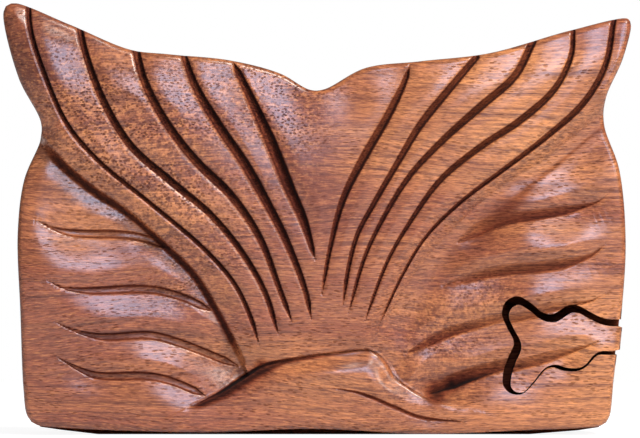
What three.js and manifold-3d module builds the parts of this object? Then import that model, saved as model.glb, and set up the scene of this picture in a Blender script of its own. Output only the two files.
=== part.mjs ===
// A wooden puzzle box. Its thick lid is carved as a whale's tail rising from the sea.
// A jigsaw-cut key lifts out of the lid's face at its right edge. The lid then swings up on a hidden dowel.
import * as THREE from "three";
import { mergeVertices } from "three/addons/utils/BufferGeometryUtils.js";
import Module from "manifold-3d";

const wasm = await Module();
wasm.setup();

// All sizes are in millimetres. The box is built lying on its back: x to the right, y up its face
// and z out of its face, from the back panel at z = 0. It is stood up on its foot at the end.

// The stack from back to front
const FACE_WIDTH = 152;
const FACE_HEIGHT = 104.6;
const BACK_THICKNESS = 6;
const BODY_DEPTH = 23.7;
const LID_GAP = 0.3;
const LID_LIFT = 0.3;
const FIT_GAP = 0.3;
const BACK_EDGE_RADIUS = 2;

// The carved face: its thickness at the plain sea, and how far its forms rise, fall and reach
const PANEL_THICKNESS = 13.5;
const EDGE_RADIUS = 1.4;
const UPPER_FALL_DEPTH = 1.3;
const UPPER_FALL_WIDTH = 6.5;
const OUTER_FALL_DEPTH = 1.8;
const OUTER_FALL_WIDTH = 3.2;
const OUTER_FALL_RADIUS = 30;
const TAIL_ROOT_HEIGHT = 1.8;
const LEFT_FLUKE_HEIGHT = 2.2;
const RIGHT_FLUKE_HEIGHT = 1.8;
const FLUKE_RADIUS = 44;
const ROOT_FALL_DEPTH = 1.6;
const ROOT_FALL_WIDTH = 6;
const ROLL_DEPTH = 1.7;
const ROLL_WIDTH = 4;
const NOTCH_FALL_DEPTH = 4.2;
const NOTCH_FALL_RADIUS = 18;
const RIGHT_STEP_WIDTH = 11;
const SUNK_DEPTH = 4;
const DIP_DEPTH = 1.4;
const DIP_WIDTH = 3.5;
const VALLEY_DEPTH = 1.3;
const VALLEY_WIDTH = 3.5;
const VALLEY_OFFSET = 3.5;
const BOWL_DEPTH = 4.6;
const BOWL_RADIUS = 12;
const PIT_DEPTH = 3.2;
const PIT_RADIUS = 5;
const WAVE_HEIGHT = 3;
const WAVE_FRONT_WIDTH = 2.2;
const WAVE_WIDTH = 12;
const WAVE_RADIUS = 22;

// The carver's grooves: half the width at the surface, and the depth
const FLUKE_GROOVE = { half: 0.95, depth: 1.8, startTaper: 0, endTaper: 0.35 };
const BROAD_GROOVE = { half: 1.4, depth: 2.2, startTaper: 0.1, endTaper: 0.5 };
const SEA_GROOVE = { half: 1.1, depth: 1, startTaper: 0.12, endTaper: 0.15 };
const WAVE_GROOVE = { half: 0.6, depth: 0.8, startTaper: 0.2, endTaper: 0.2 };
const CREASE = { half: 0.5, depth: 0.5, startTaper: 0.3, endTaper: 0.3 };
const CUTTER_LIFT = 1.2;
const LEAST_TAPER = 0.08;

// The key and the saw cut around it
const SAW_KERF = 1.3;
const KEY_DROP = 0.35;
const KEY_SHIFT = 0.5;
const KEY_TILT = 1;
const KEY_MAGNET_RADIUS = 4;
const KEY_MAGNET_HEIGHT = 3;

// The cavity and its felt lining
const CAVITY_WIDTH = 100;
const CAVITY_HEIGHT = 53;
const CAVITY_CORNER = 9;
const FELT_THICKNESS = 1;
const LINING_BELOW_RIM = 2;

// The lid's pivot, and the pin that stops its swing
const DOWEL_RADIUS = 5;
const DOWEL_IN_LID = 8;
const PLUG_RADIUS = 8;
const PLUG_THICKNESS = 4;
const COUNTERBORE_DEPTH = 9;
const WASHER_RADIUS = 6.5;
const WASHER_THICKNESS = 1;
const SCREW_RADIUS = 1.75;
const SCREW_LENGTH = 18;
const SCREW_HEAD_RADIUS = 3.5;
const SCREW_HEAD_HEIGHT = 2.4;
const STOP_PIN_RADIUS = 1.5;
const STOP_PIN_IN_BODY = 10;
const STOP_PIN_IN_LID = 3;
const STOP_PIN_ORBIT = 20;
const STOP_PIN_ANGLE = -10;
const LID_SWING = 90;

// How finely the curved faces are cut
const LID_COLUMNS = 52;
const LID_ROWS = 36;
const BORDER_CROWDING = 0.55;
const OUTLINE_STEPS = 6;
const ROUND_SIDES = 32;

// Places and lines on the face, in per cent of its width and height from the lower left.
const LEFT_SIDE = [
  [4.6, 2.8], [3.8, 4.7], [3.3, 10.4], [2.8, 28.9], [2.4, 46.9], [3.4, 58.9],
  [6.0, 68.4], [6.1, 72.3], [2.6, 82.4], [0.1, 97.2], [0.5, 99.2],
];
const LOWER_SIDE = [
  [4.6, 2.8], [5.8, 2.0], [9.1, 1.5], [18.7, 0.8], [33.0, 0.4], [49.7, 1.2],
  [67.2, 0.0], [82.3, 0.8], [91.8, 1.4], [95.0, 1.9], [96.0, 2.7],
];
const RIGHT_SIDE = [
  [96.0, 2.7], [96.6, 4.5], [97.2, 12.7], [98.5, 28.9], [99.1, 45.0], [98.1, 61.2],
  [95.7, 71.8], [95.9, 77.8], [98.5, 86.6], [99.9, 94.2], [99.8, 95.6],
];
const UPPER_SIDE = [
  [0.5, 99.2], [1.8, 99.9], [10.7, 94.9], [20.3, 89.1], [26.6, 88.0], [36.2, 86.6], [44.1, 83.6],
  [48.9, 79.8], [51.1, 79.9], [57.6, 84.8], [66.4, 86.4], [77.5, 88.3], [90.2, 93.5], [99.3, 96.3],
  [99.8, 95.6],
];
const FOOT = [[5.8, 1.7], [9.1, 1.0], [15, 0], [84, 0], [91.8, 0.9], [95.0, 1.6]];
const LEFT_FLUKE_EDGE = [
  [6.1, 68.4], [9.5, 62.8], [14.2, 57.0], [20.0, 51.3], [25.5, 44.3], [30.6, 37.0], [34.1, 28.9],
  [36.6, 21.9], [38.2, 16.6],
];
const RIGHT_FLUKE_EDGE = [
  [60.8, 16.9], [63.2, 25.4], [68.9, 39.3], [77.2, 51.5], [87.8, 62.6], [95.6, 71.8],
];
const WAVE_EDGE = [
  [29.0, 5.8], [32.2, 7.9], [34.9, 9.9], [38.4, 13.2], [41.6, 15.9], [47.3, 17.6], [53.7, 18.9],
  [58.7, 19.2], [61.0, 16.6], [62.4, 13.2], [65.1, 10.2], [68.8, 7.9], [74.3, 5.8],
];
const LEFT_FLUKE_CREST = [19, 76];
const RIGHT_FLUKE_CREST = [80, 76];
const WAVE_CREST = [53, 16];
const OUTER_FALL_PLACE = [3, 86];
const NOTCH_PLACE = [47, 88];
const BOWL_PLACE = [41, 16];
const PITS = [[40.5, 14.6], [69, 10]];
const FLUKE_GROOVES = [
  [[4.1, 99.5], [4.5, 93.5], [6.8, 83.1], [10.4, 71.6], [15.5, 63.0], [23.4, 53.6], [32.2, 42.7],
    [37.0, 34.6], [39.7, 26.1], [40.9, 20.1]],
  [[12.2, 94.5], [13.3, 87.8], [16.0, 77.4], [20.3, 67.0], [26.9, 58.4], [33.0, 51.0], [37.8, 42.7],
    [41.7, 33.0], [44.0, 22.4]],
  [[21.1, 89.6], [22.5, 82.0], [25.8, 72.7], [30.6, 63.5], [36.5, 55.0], [40.9, 45.5], [44.1, 33.5],
    [46.2, 25.4]],
  [[28.7, 88.2], [30.6, 80.8], [34.3, 71.6], [38.6, 62.4], [42.2, 53.1], [44.9, 45.5], [48.1, 33.5],
    [49.2, 26.1]],
  [[75.3, 87.3], [71.1, 80.1], [66.4, 71.6], [62.6, 62.4], [58.9, 53.1], [56.4, 46.2], [54.8, 37.0],
    [54.1, 29.3]],
  [[84.3, 91.0], [81.5, 83.1], [75.9, 75.8], [70.0, 68.1], [64.8, 60.0], [60.8, 50.8], [57.6, 41.1],
    [54.8, 27.0]],
  [[90.7, 93.5], [90.4, 87.8], [87.8, 80.1], [82.3, 72.7], [75.9, 66.5], [69.6, 58.9], [64.8, 49.2],
    [61.3, 40.4], [57.2, 24.7]],
  [[97.2, 96.1], [95.8, 85.5], [92.3, 76.7], [86.2, 68.6], [79.1, 60.7], [72.7, 53.6], [67.2, 45.5],
    [63.2, 35.8], [59.4, 23.6]],
];
const BROAD_GROOVES = [
  [[36.6, 86.4], [39.0, 79.2], [42.5, 68.1], [45.7, 56.6], [47.8, 49.7], [49.8, 40.0]],
  [[64.8, 85.9], [64.0, 82.0], [61.3, 73.9], [57.2, 63.5], [54.1, 54.3], [52.2, 43.9], [50.6, 31.2]],
];
const SEA_GROOVES = [
  [[4.7, 50.1], [7.6, 48.0], [10.7, 46.7], [20.3, 46.0], [24.2, 44.6], [26.9, 43.0]],
  [[6.3, 36.5], [9.1, 34.2], [13.1, 33.3], [23.4, 33.5], [28.2, 31.9], [33.5, 28.4]],
  [[7.4, 27.0], [9.9, 24.9], [15.5, 22.6], [23.4, 22.9], [27.4, 21.5], [32.2, 18.9], [37.8, 15.5]],
  [[7.6, 18.7], [12.3, 15.0], [15.0, 13.6], [23.4, 13.4], [27.4, 12.0], [32.4, 8.8]],
  [[96.6, 56.1], [94.7, 54.0], [91.8, 52.7], [85.5, 51.0], [79.9, 49.9], [75.9, 47.6], [71.9, 44.1]],
  [[96.3, 44.8], [93.9, 41.8], [90.2, 40.0], [85.5, 38.8], [79.9, 38.1], [75.1, 36.7], [69.6, 34.2]],
  [[96.3, 33.0], [93.4, 30.9], [89.4, 30.0], [79.9, 27.3], [75.1, 25.4], [70.3, 23.3], [63.5, 18.2]],
  [[95.0, 22.4], [92.6, 21.0], [86.2, 18.5], [79.1, 15.9], [75.1, 14.1], [71.1, 11.8], [67.5, 9.0]],
];
const CREASE_LINE = [[51.3, 10.9], [56.8, 9.5], [62.4, 6.2], [66.4, 3.9], [74.3, 2.8]];
const PIVOT_PLACE = [11, 82.4];
const CAVITY_PLACE = [42.5, 36.7];
const KEY_MOUTH = [98, 22.4];
const KEY_MAGNET_PLACE = [86.4, 21.2];

// The saw cut, from the mouth's upper lip round to its lower lip, and the key's rounded end
const SAW_LINE = [
  [101.3, 26.7], [96.2, 26.7], [94.8, 27.3], [93.1, 28.6], [91.5, 29.8], [89.9, 29.8], [88.8, 28.9],
  [87.5, 27.8], [85.9, 28.2], [84.0, 30.4], [81.8, 32.0], [80.0, 30.7], [79.4, 28.0], [80.2, 24.7],
  [81.3, 21.2], [80.4, 17.8], [79.6, 14.1], [79.6, 11.3], [80.7, 9.5], [82.6, 9.3], [84.3, 11.5],
  [86.4, 15.0], [87.5, 15.5], [88.9, 14.8], [91.2, 14.6], [92.7, 15.5], [94.6, 18.3], [96.2, 18.4],
  [101.3, 18.3],
];
const KEY_NOSE = [[96.6, 19.6], [98.3, 20.3], [98.9, 22.4], [98.9, 24.2], [98, 25.2], [96.6, 25.4]];

// The sea's swellings, all in per cent: the place, and the radius and height in shares of the width
const SWELLINGS = [
  [8.5, 35.5, 6.6, 1.4], [15, 25, 5.9, 1.1], [23.5, 14, 5.9, 1.05], [28, 3.5, 4.6, 0.6],
  [85, 48.5, 5.9, 1.45], [88, 39, 5.3, 1.1], [86, 29.5, 5.3, 1], [80, 4, 9.2, 0.65], [94, 19, 4, 0.7],
];

// Heights of the stack
const BODY_FRONT = BACK_THICKNESS + BODY_DEPTH;
const LID_BACK = BODY_FRONT + LID_GAP;

// How far the cutting tools reach through and past the wood, and how far the tail laps over the wave's line
const THROUGH = 60;
const SPARE = 1;
const LAP = 0.02;

// A square that covers the whole face
const COVER = [[-1, -1], [1, -1], [1, 1], [-1, 1]]
  .map(([x, y]) => new THREE.Vector2(x, y).multiplyScalar(2 * FACE_WIDTH));

const MATERIALS = {
  carvedWood: new THREE.MeshStandardMaterial({ color: 0x9a5f38, roughness: 0.32, metalness: 0 }),
  keyWood: new THREE.MeshStandardMaterial({ color: 0xb87a48, roughness: 0.32, metalness: 0 }),
  bodyWood: new THREE.MeshStandardMaterial({ color: 0x7d4a2c, roughness: 0.4, metalness: 0 }),
  paleWood: new THREE.MeshStandardMaterial({ color: 0xc79a66, roughness: 0.6, metalness: 0 }),
  steel: new THREE.MeshStandardMaterial({ color: 0xb8bcc0, roughness: 0.35, metalness: 1 }),
  nickel: new THREE.MeshStandardMaterial({ color: 0xc9c9c6, roughness: 0.2, metalness: 1 }),
  felt: new THREE.MeshStandardMaterial({ color: 0x231a1c, roughness: 1, metalness: 0 }),
};

// Solids

/** A manifold solid of a closed geometry. */
function solidOf(geometry) {
  const bare = geometry.clone();
  bare.deleteAttribute("normal");
  bare.deleteAttribute("uv");
  const merged = mergeVertices(bare, 1e-4);
  const vertProperties = new Float32Array(merged.attributes.position.array);
  const triVerts = new Uint32Array(merged.index.array);
  return new wasm.Manifold(new wasm.Mesh({ numProp: 3, vertProperties, triVerts }));
}

/** The geometry of a manifold solid. */
function geometryOf(solid) {
  const mesh = solid.getMesh();
  const geometry = new THREE.BufferGeometry();
  geometry.setAttribute("position", new THREE.BufferAttribute(mesh.vertProperties, 3));
  geometry.setIndex(new THREE.BufferAttribute(mesh.triVerts, 1));
  geometry.computeVertexNormals();
  return geometry;
}

/** A straight prism of an outline, from one height to another. */
function prism(points, from, to) {
  const depth = to - from;
  const geometry = new THREE.ExtrudeGeometry(new THREE.Shape(points), { depth, bevelEnabled: false });
  return solidOf(geometry.translate(0, 0, from));
}

/** An upright round bar at a place, from one height to another. */
function round(centre, radius, from, to) {
  const geometry = new THREE.CylinderGeometry(radius, radius, to - from, ROUND_SIDES);
  geometry.rotateX(Math.PI / 2).translate(centre.x, centre.y, (from + to) / 2);
  return solidOf(geometry);
}

/** A mesh with its name, from a solid. */
function part(name, solid, material) {
  const mesh = new THREE.Mesh(geometryOf(solid), material);
  mesh.name = name;
  return mesh;
}

// Lines on the face

/** The point on the face at a place given in per cent. */
function place([across, up]) {
  const x = (across / 100 - 0.5) * FACE_WIDTH;
  const y = LID_LIFT + (up / 100) * (FACE_HEIGHT - LID_LIFT);
  return new THREE.Vector2(x, y);
}

/** A smooth curve through points. */
function curveThrough(points) {
  return new THREE.CatmullRomCurve3(points.map((p) => new THREE.Vector3(p.x, p.y, 0)), false, "centripetal");
}

/** A curve's points, evenly spaced, with a number of steps for each span between its given points. */
function pointsAlong(curve, stepsPerSpan = OUTLINE_STEPS) {
  const steps = (curve.points.length - 1) * stepsPerSpan;
  return curve.getSpacedPoints(steps).map((p) => new THREE.Vector2(p.x, p.y));
}

/** The point of a polyline nearest to a point: its distance, positive on the line's left-hand side. */
function signedDistance(line, point) {
  let least = Infinity;
  let side = 1;
  for (let i = 0; i + 1 < line.length; i += 1) {
    const along = line[i + 1].clone().sub(line[i]);
    const from = point.clone().sub(line[i]);
    const share = THREE.MathUtils.clamp(from.dot(along) / along.lengthSq(), 0, 1);
    const distance = from.clone().addScaledVector(along, -share).length();
    if (distance < least) {
      least = distance;
      side = Math.sign(along.cross(from)) || 1;
    }
  }
  return side * least;
}

/** The same line moved to its left-hand side by a distance. */
function offsetLine(points, distance) {
  return points.map((point, i) => {
    const before = points[Math.max(i - 1, 0)];
    const after = points[Math.min(i + 1, points.length - 1)];
    const along = after.clone().sub(before).normalize();
    return new THREE.Vector2(point.x - along.y * distance, point.y + along.x * distance);
  });
}

const sides = {
  left: curveThrough(LEFT_SIDE.map(place)),
  lower: curveThrough(LOWER_SIDE.map(place)),
  right: curveThrough(RIGHT_SIDE.map(place)),
  upper: curveThrough(UPPER_SIDE.map(place)),
};

/** The lid's outline as one closed line, anticlockwise from its lower left corner. */
const lidOutline = [
  ...pointsAlong(sides.lower).slice(0, -1),
  ...pointsAlong(sides.right).slice(0, -1),
  ...pointsAlong(sides.upper).reverse().slice(0, -1),
  ...pointsAlong(sides.left).reverse(),
];

/** The body's outline: as the lid's, with a flat foot to stand on. */
const bodyOutline = [
  ...FOOT.map(([across, up]) => new THREE.Vector2(place([across, 0]).x, (up / 100) * FACE_HEIGHT)),
  ...pointsAlong(sides.right, 3).slice(1, -1),
  ...pointsAlong(sides.upper, 3).reverse().slice(0, -1),
  ...pointsAlong(sides.left, 3).reverse().slice(0, -1),
];

const leftFlukeEdge = pointsAlong(curveThrough(LEFT_FLUKE_EDGE.map(place)));
const rightFlukeEdge = pointsAlong(curveThrough(RIGHT_FLUKE_EDGE.map(place)));
const waveEdge = pointsAlong(curveThrough(WAVE_EDGE.map(place)));
const upperSide = pointsAlong(sides.upper);
const pivot = place(PIVOT_PLACE);
const cavityCentre = place(CAVITY_PLACE);
const keyMouth = place(KEY_MOUTH);
const keyMagnet = place(KEY_MAGNET_PLACE);

// The carved face

/** From 0 to 1 across a soft step of a width, at a distance from its middle. */
function softStep(distance, width) {
  return THREE.MathUtils.smoothstep(distance, -width / 2, width / 2);
}

/** 1 at a centre, falling away round it. */
function mound(point, centre, radius) {
  return Math.exp(-point.distanceToSquared(centre) / (radius * radius));
}

/** From 1 on a line to 0 away from it. */
function ridge(distance, width) {
  return Math.exp(-((distance / width) ** 2));
}

/** The depth lost near the outline: a rounded edge, and soft falls at the top and at the left fluke's tip. */
function edgeFall(point) {
  const inside = Math.abs(signedDistance(lidOutline, point));
  const short = Math.max(EDGE_RADIUS - inside, 0);
  const rounding = EDGE_RADIUS - Math.sqrt(EDGE_RADIUS * EDGE_RADIUS - short * short);
  const upper = UPPER_FALL_DEPTH * ridge(signedDistance(upperSide, point), UPPER_FALL_WIDTH);
  const nearTip = mound(point, place(OUTER_FALL_PLACE), OUTER_FALL_RADIUS);
  return rounding + upper + OUTER_FALL_DEPTH * ridge(inside, OUTER_FALL_WIDTH) * nearTip;
}

/** The plain sea's height over the lid's back, with its swellings. */
function plainHeight(point) {
  const percent = FACE_WIDTH / 100;
  const swell = SWELLINGS.reduce((sum, [across, up, radius, height]) => (
    sum + height * percent * mound(point, place([across, up]), radius * percent)
  ), 0);
  return PANEL_THICKNESS + swell - edgeFall(point);
}

/** The sea's height, hollowed beside the flukes and at the ends of the wave. */
function seaHeight(point) {
  const dip = DIP_DEPTH * ridge(signedDistance(leftFlukeEdge, point), DIP_WIDTH);
  const valley = VALLEY_DEPTH * ridge(signedDistance(rightFlukeEdge, point) + VALLEY_OFFSET, VALLEY_WIDTH);
  const bowl = BOWL_DEPTH * mound(point, place(BOWL_PLACE), BOWL_RADIUS);
  const pits = PITS.reduce((sum, pit) => sum + PIT_DEPTH * mound(point, place(pit), PIT_RADIUS), 0);
  return plainHeight(point) - Math.max(dip, valley, bowl, pits);
}

/** The height of the wave that rises over the tail's root, below its own line. */
function waveHeight(point) {
  const fromWave = signedDistance(waveEdge, point);
  const crest = (1 - ridge(fromWave, WAVE_FRONT_WIDTH)) * ridge(fromWave, WAVE_WIDTH);
  return plainHeight(point) + WAVE_HEIGHT * crest * mound(point, place(WAVE_CREST), WAVE_RADIUS);
}

/** The tail's height over the lid's back. It sinks under the sea past the soft edge of the right fluke. */
function tailHeight(point) {
  const rise = TAIL_ROOT_HEIGHT
    + LEFT_FLUKE_HEIGHT * mound(point, place(LEFT_FLUKE_CREST), FLUKE_RADIUS)
    + RIGHT_FLUKE_HEIGHT * mound(point, place(RIGHT_FLUKE_CREST), FLUKE_RADIUS)
    - ROOT_FALL_DEPTH * ridge(signedDistance(waveEdge, point), ROOT_FALL_WIDTH)
    - ROLL_DEPTH * ridge(signedDistance(leftFlukeEdge, point), ROLL_WIDTH)
    - NOTCH_FALL_DEPTH * mound(point, place(NOTCH_PLACE), NOTCH_FALL_RADIUS);
  const shown = softStep(signedDistance(rightFlukeEdge, point), RIGHT_STEP_WIDTH);
  return PANEL_THICKNESS + THREE.MathUtils.lerp(-SUNK_DEPTH, rise, shown) - edgeFall(point);
}

/** The height of the uncut face over the lid's back. */
function faceHeight(point) {
  if (signedDistance(waveEdge, point) < 0) return waveHeight(point);
  const sea = seaHeight(point);
  return signedDistance(leftFlukeEdge, point) > 0 ? Math.max(tailHeight(point), sea) : sea;
}

/** The share of the way over a unit square, with the steps crowded towards its borders. */
function crowded(share) {
  return share - (BORDER_CROWDING * Math.sin(2 * Math.PI * share)) / (2 * Math.PI);
}

/** The point of the lid's face at a share across and a share up, between its four curved sides. */
function patchPoint(across, up) {
  const lower = sides.lower.getPointAt(across);
  const upper = sides.upper.getPointAt(across);
  const left = sides.left.getPointAt(up);
  const right = sides.right.getPointAt(up);
  const rise = lower.clone().lerp(upper, up);
  const run = left.clone().lerp(right, across);
  const corners = sides.lower.getPointAt(0).lerp(sides.lower.getPointAt(1), across)
    .lerp(sides.upper.getPointAt(0).lerp(sides.upper.getPointAt(1), across), up);
  const point = rise.add(run).sub(corners);
  return new THREE.Vector2(point.x, point.y);
}

/** A slab of the lid's outline, with a flat back and a face of the given heights. */
function slab(heightAt) {
  const geometry = new THREE.BoxGeometry(1, 1, 1, LID_COLUMNS, LID_ROWS, 1);
  const position = geometry.attributes.position;
  for (let i = 0; i < position.count; i += 1) {
    const point = patchPoint(crowded(position.getX(i) + 0.5), crowded(position.getY(i) + 0.5));
    const height = position.getZ(i) > 0 ? heightAt(point) : -SPARE;
    position.setXYZ(i, point.x, point.y, LID_BACK + height);
  }
  return solidOf(geometry).subtract(prism(COVER, 0, LID_BACK));
}

/** The lid's blank: the sea, the tail standing out of it, and the wave over the tail's root. */
function blank() {
  const [start] = leftFlukeEdge;
  const tailBounds = [
    new THREE.Vector2(-FACE_WIDTH, start.y),
    ...leftFlukeEdge,
    ...offsetLine(waveEdge, -LAP).filter((p) => p.x > leftFlukeEdge[leftFlukeEdge.length - 1].x),
    new THREE.Vector2(FACE_WIDTH, 0),
    new THREE.Vector2(FACE_WIDTH, 2 * FACE_HEIGHT),
    new THREE.Vector2(-FACE_WIDTH, 2 * FACE_HEIGHT),
  ];
  const waveBounds = [
    new THREE.Vector2(waveEdge[0].x, -FACE_HEIGHT),
    new THREE.Vector2(waveEdge[waveEdge.length - 1].x, -FACE_HEIGHT),
    ...[...waveEdge].reverse(),
  ];
  return slab(seaHeight)
    .add(slab(tailHeight).intersect(prism(tailBounds, 0, THROUGH)))
    .add(slab(waveHeight).intersect(prism(waveBounds, 0, THROUGH)));
}

/** A groove's share of its full size, at a share of the way along it. */
function taper(share, { startTaper, endTaper }) {
  const fromStart = startTaper ? Math.min(share / startTaper, 1) : 1;
  const toEnd = endTaper ? Math.min((1 - share) / endTaper, 1) : 1;
  return Math.max(fromStart * toEnd, LEAST_TAPER);
}

// A three-sided bar of radius 1 has one corner at z = 1, and the other two here
const BAR_TOP = Math.cos((2 * Math.PI) / 3);
const BAR_HALF = Math.sin((2 * Math.PI) / 3);

/** The wedge that cuts one groove: a three-sided bar bent along the groove's line, its point downwards. */
function groove(points, tool) {
  const curve = curveThrough(points.map(place));
  const steps = curve.points.length * 2;
  const geometry = new THREE.CylinderGeometry(1, 1, 1, 3, steps);
  const position = geometry.attributes.position;
  for (let i = 0; i < position.count; i += 1) {
    const share = position.getY(i) + 0.5;
    const centre = curve.getPointAt(share);
    const along = curve.getTangentAt(share);
    const size = taper(share, tool);
    const depth = tool.depth * size;
    const rise = (1 - position.getZ(i)) / (1 - BAR_TOP);
    const halfAtTop = tool.half * size * (1 + CUTTER_LIFT / depth);
    const across = (position.getX(i) / BAR_HALF) * halfAtTop;
    const surface = LID_BACK + faceHeight(new THREE.Vector2(centre.x, centre.y));
    position.setXYZ(
      i,
      centre.x - along.y * across,
      centre.y + along.x * across,
      surface - depth + rise * (depth + CUTTER_LIFT),
    );
  }
  return solidOf(geometry);
}

/** The blank with every groove cut. */
function carvedBlank() {
  const cuts = [
    ...FLUKE_GROOVES.map((line) => [line, FLUKE_GROOVE]),
    ...BROAD_GROOVES.map((line) => [line, BROAD_GROOVE]),
    ...SEA_GROOVES.map((line) => [line, SEA_GROOVE]),
    [WAVE_EDGE, WAVE_GROOVE],
    [CREASE_LINE, CREASE],
  ];
  return cuts.reduce((solid, [line, tool]) => solid.subtract(groove(line, tool)), blank());
}

const sawLine = pointsAlong(curveThrough(SAW_LINE.map(place)), 2);

/** The key's outline before it is moved: the saw cut's inner side, closed by the key's rounded end. */
function keyOutline() {
  const nose = pointsAlong(curveThrough(KEY_NOSE.map(place)), 2);
  const lip = nose[nose.length - 1];
  return [...offsetLine(sawLine, SAW_KERF).filter((point) => point.x < lip.x), ...nose];
}

/** The stop pin's place on its circle round the pivot, at an angle in degrees. */
function stopPinPlace(degrees) {
  const angle = THREE.MathUtils.degToRad(degrees);
  return new THREE.Vector2(Math.cos(angle), Math.sin(angle)).multiplyScalar(STOP_PIN_ORBIT).add(pivot);
}

/** The arc slot in the lid's back that the stop pin runs in. */
function stopSlot() {
  const start = THREE.MathUtils.degToRad(STOP_PIN_ANGLE);
  const end = THREE.MathUtils.degToRad(STOP_PIN_ANGLE - LID_SWING);
  const half = STOP_PIN_RADIUS + FIT_GAP;
  const shape = new THREE.Shape();
  const first = stopPinPlace(STOP_PIN_ANGLE);
  const last = stopPinPlace(STOP_PIN_ANGLE - LID_SWING);
  shape.absarc(pivot.x, pivot.y, STOP_PIN_ORBIT + half, start, end, true);
  shape.absarc(last.x, last.y, half, end, end - Math.PI, true);
  shape.absarc(pivot.x, pivot.y, STOP_PIN_ORBIT - half, end, start, false);
  shape.absarc(first.x, first.y, half, start + Math.PI, start, true);
  return prism(shape.getPoints(8), LID_BACK - SPARE, LID_BACK + STOP_PIN_IN_LID + FIT_GAP);
}

const stopPin = stopPinPlace(STOP_PIN_ANGLE);
const carved = carvedBlank();

/** The lid: the carved slab with the key's slot, the dowel's socket and the stop's slot. */
function carvedLid() {
  return carved
    .subtract(prism(sawLine, LID_BACK - SPARE, THROUGH))
    .subtract(round(pivot, DOWEL_RADIUS + FIT_GAP, LID_BACK - SPARE, LID_BACK + DOWEL_IN_LID))
    .subtract(stopSlot());
}

/** The key: what the saw left inside its cut, sunk a little onto the slot's lower side. */
function lockKey() {
  return carved
    .intersect(prism(keyOutline(), LID_BACK - SPARE, THROUGH))
    .translate([-keyMouth.x, -keyMouth.y, 0])
    .rotate([0, 0, KEY_TILT])
    .translate([keyMouth.x + KEY_SHIFT, keyMouth.y - KEY_DROP, 0])
    .subtract(round(keyMagnet, KEY_MAGNET_RADIUS + FIT_GAP, LID_BACK - SPARE, LID_BACK + KEY_MAGNET_HEIGHT));
}

// The box behind the lid

/** The rounded outline of the cavity, drawn in by a distance. */
function cavityOutline(inset) {
  const halfWidth = CAVITY_WIDTH / 2 - inset;
  const halfHeight = CAVITY_HEIGHT / 2 - inset;
  const corner = CAVITY_CORNER - inset;
  const { x, y } = cavityCentre;
  const shape = new THREE.Shape();
  shape.absarc(x + halfWidth - corner, y - halfHeight + corner, corner, -Math.PI / 2, 0);
  shape.absarc(x + halfWidth - corner, y + halfHeight - corner, corner, 0, Math.PI / 2);
  shape.absarc(x - halfWidth + corner, y + halfHeight - corner, corner, Math.PI / 2, Math.PI);
  shape.absarc(x - halfWidth + corner, y - halfHeight + corner, corner, Math.PI, Math.PI * 1.5);
  return shape.getPoints(6);
}

/** The wood of the body and the back, with the rounded edge at the back. */
function bodyStock() {
  const geometry = new THREE.ExtrudeGeometry(new THREE.Shape(bodyOutline), {
    depth: BODY_FRONT,
    bevelThickness: BACK_EDGE_RADIUS,
    bevelSize: BACK_EDGE_RADIUS,
    bevelOffset: -BACK_EDGE_RADIUS,
    bevelSegments: 3,
  });
  return solidOf(geometry.translate(0, 0, BACK_EDGE_RADIUS));
}

/** A layer of the stock between two heights. */
function stockLayer(from, to) {
  return bodyStock().intersect(prism(COVER, from, to));
}

/** The ring of wood round the cavity, bored for the dowel, the stop pin and the magnet. */
function boxBody() {
  return stockLayer(BACK_THICKNESS, BODY_FRONT)
    .subtract(prism(cavityOutline(0), 0, THROUGH))
    .subtract(round(pivot, DOWEL_RADIUS + FIT_GAP, 0, THROUGH))
    .subtract(round(pivot, PLUG_RADIUS + FIT_GAP, 0, COUNTERBORE_DEPTH))
    .subtract(round(stopPin, STOP_PIN_RADIUS + FIT_GAP, BODY_FRONT - STOP_PIN_IN_BODY, THROUGH))
    .subtract(round(keyMagnet, KEY_MAGNET_RADIUS + FIT_GAP, BODY_FRONT - KEY_MAGNET_HEIGHT, THROUGH));
}

/** The glued back, with the plug's hole. */
function backPanel() {
  return stockLayer(0, BACK_THICKNESS).subtract(round(pivot, PLUG_RADIUS + FIT_GAP, -SPARE, THROUGH));
}

// The pivot
const WASHER_FRONT = COUNTERBORE_DEPTH - FIT_GAP;
const WASHER_BACK = WASHER_FRONT - WASHER_THICKNESS;

/** The dowel, bored for its screw, glued in the lid and turning in the body. */
function pivotDowel() {
  return round(pivot, DOWEL_RADIUS, WASHER_FRONT, LID_BACK + DOWEL_IN_LID)
    .subtract(round(pivot, SCREW_RADIUS + FIT_GAP, 0, WASHER_BACK + SCREW_LENGTH + FIT_GAP));
}

/** The washer that keeps the dowel from pulling through. */
function pivotWasher() {
  return round(pivot, WASHER_RADIUS, WASHER_BACK, WASHER_FRONT)
    .subtract(round(pivot, SCREW_RADIUS + FIT_GAP, 0, THROUGH));
}

/** The screw, its head on the washer and a straight slot in its head. */
function pivotScrew() {
  const slotHalf = SCREW_HEAD_RADIUS / 6;
  const slot = [[-1, -1], [1, -1], [1, 1], [-1, 1]]
    .map(([x, y]) => new THREE.Vector2(pivot.x + x * SCREW_HEAD_RADIUS * 2, pivot.y + y * slotHalf));
  const headBack = WASHER_BACK - SCREW_HEAD_HEIGHT;
  return round(pivot, SCREW_HEAD_RADIUS, headBack, WASHER_BACK)
    .add(round(pivot, SCREW_RADIUS, headBack + SCREW_HEAD_HEIGHT / 2, WASHER_BACK + SCREW_LENGTH))
    .subtract(prism(slot, 0, headBack + SCREW_HEAD_HEIGHT / 2));
}

// The felt
const FELT_BACK = BACK_THICKNESS + FIT_GAP;
const FELT_FRONT = FELT_BACK + FELT_THICKNESS;

/** The felt on the cavity's floor. */
function floorLining() {
  return prism(cavityOutline(FIT_GAP), FELT_BACK, FELT_FRONT);
}

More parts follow.
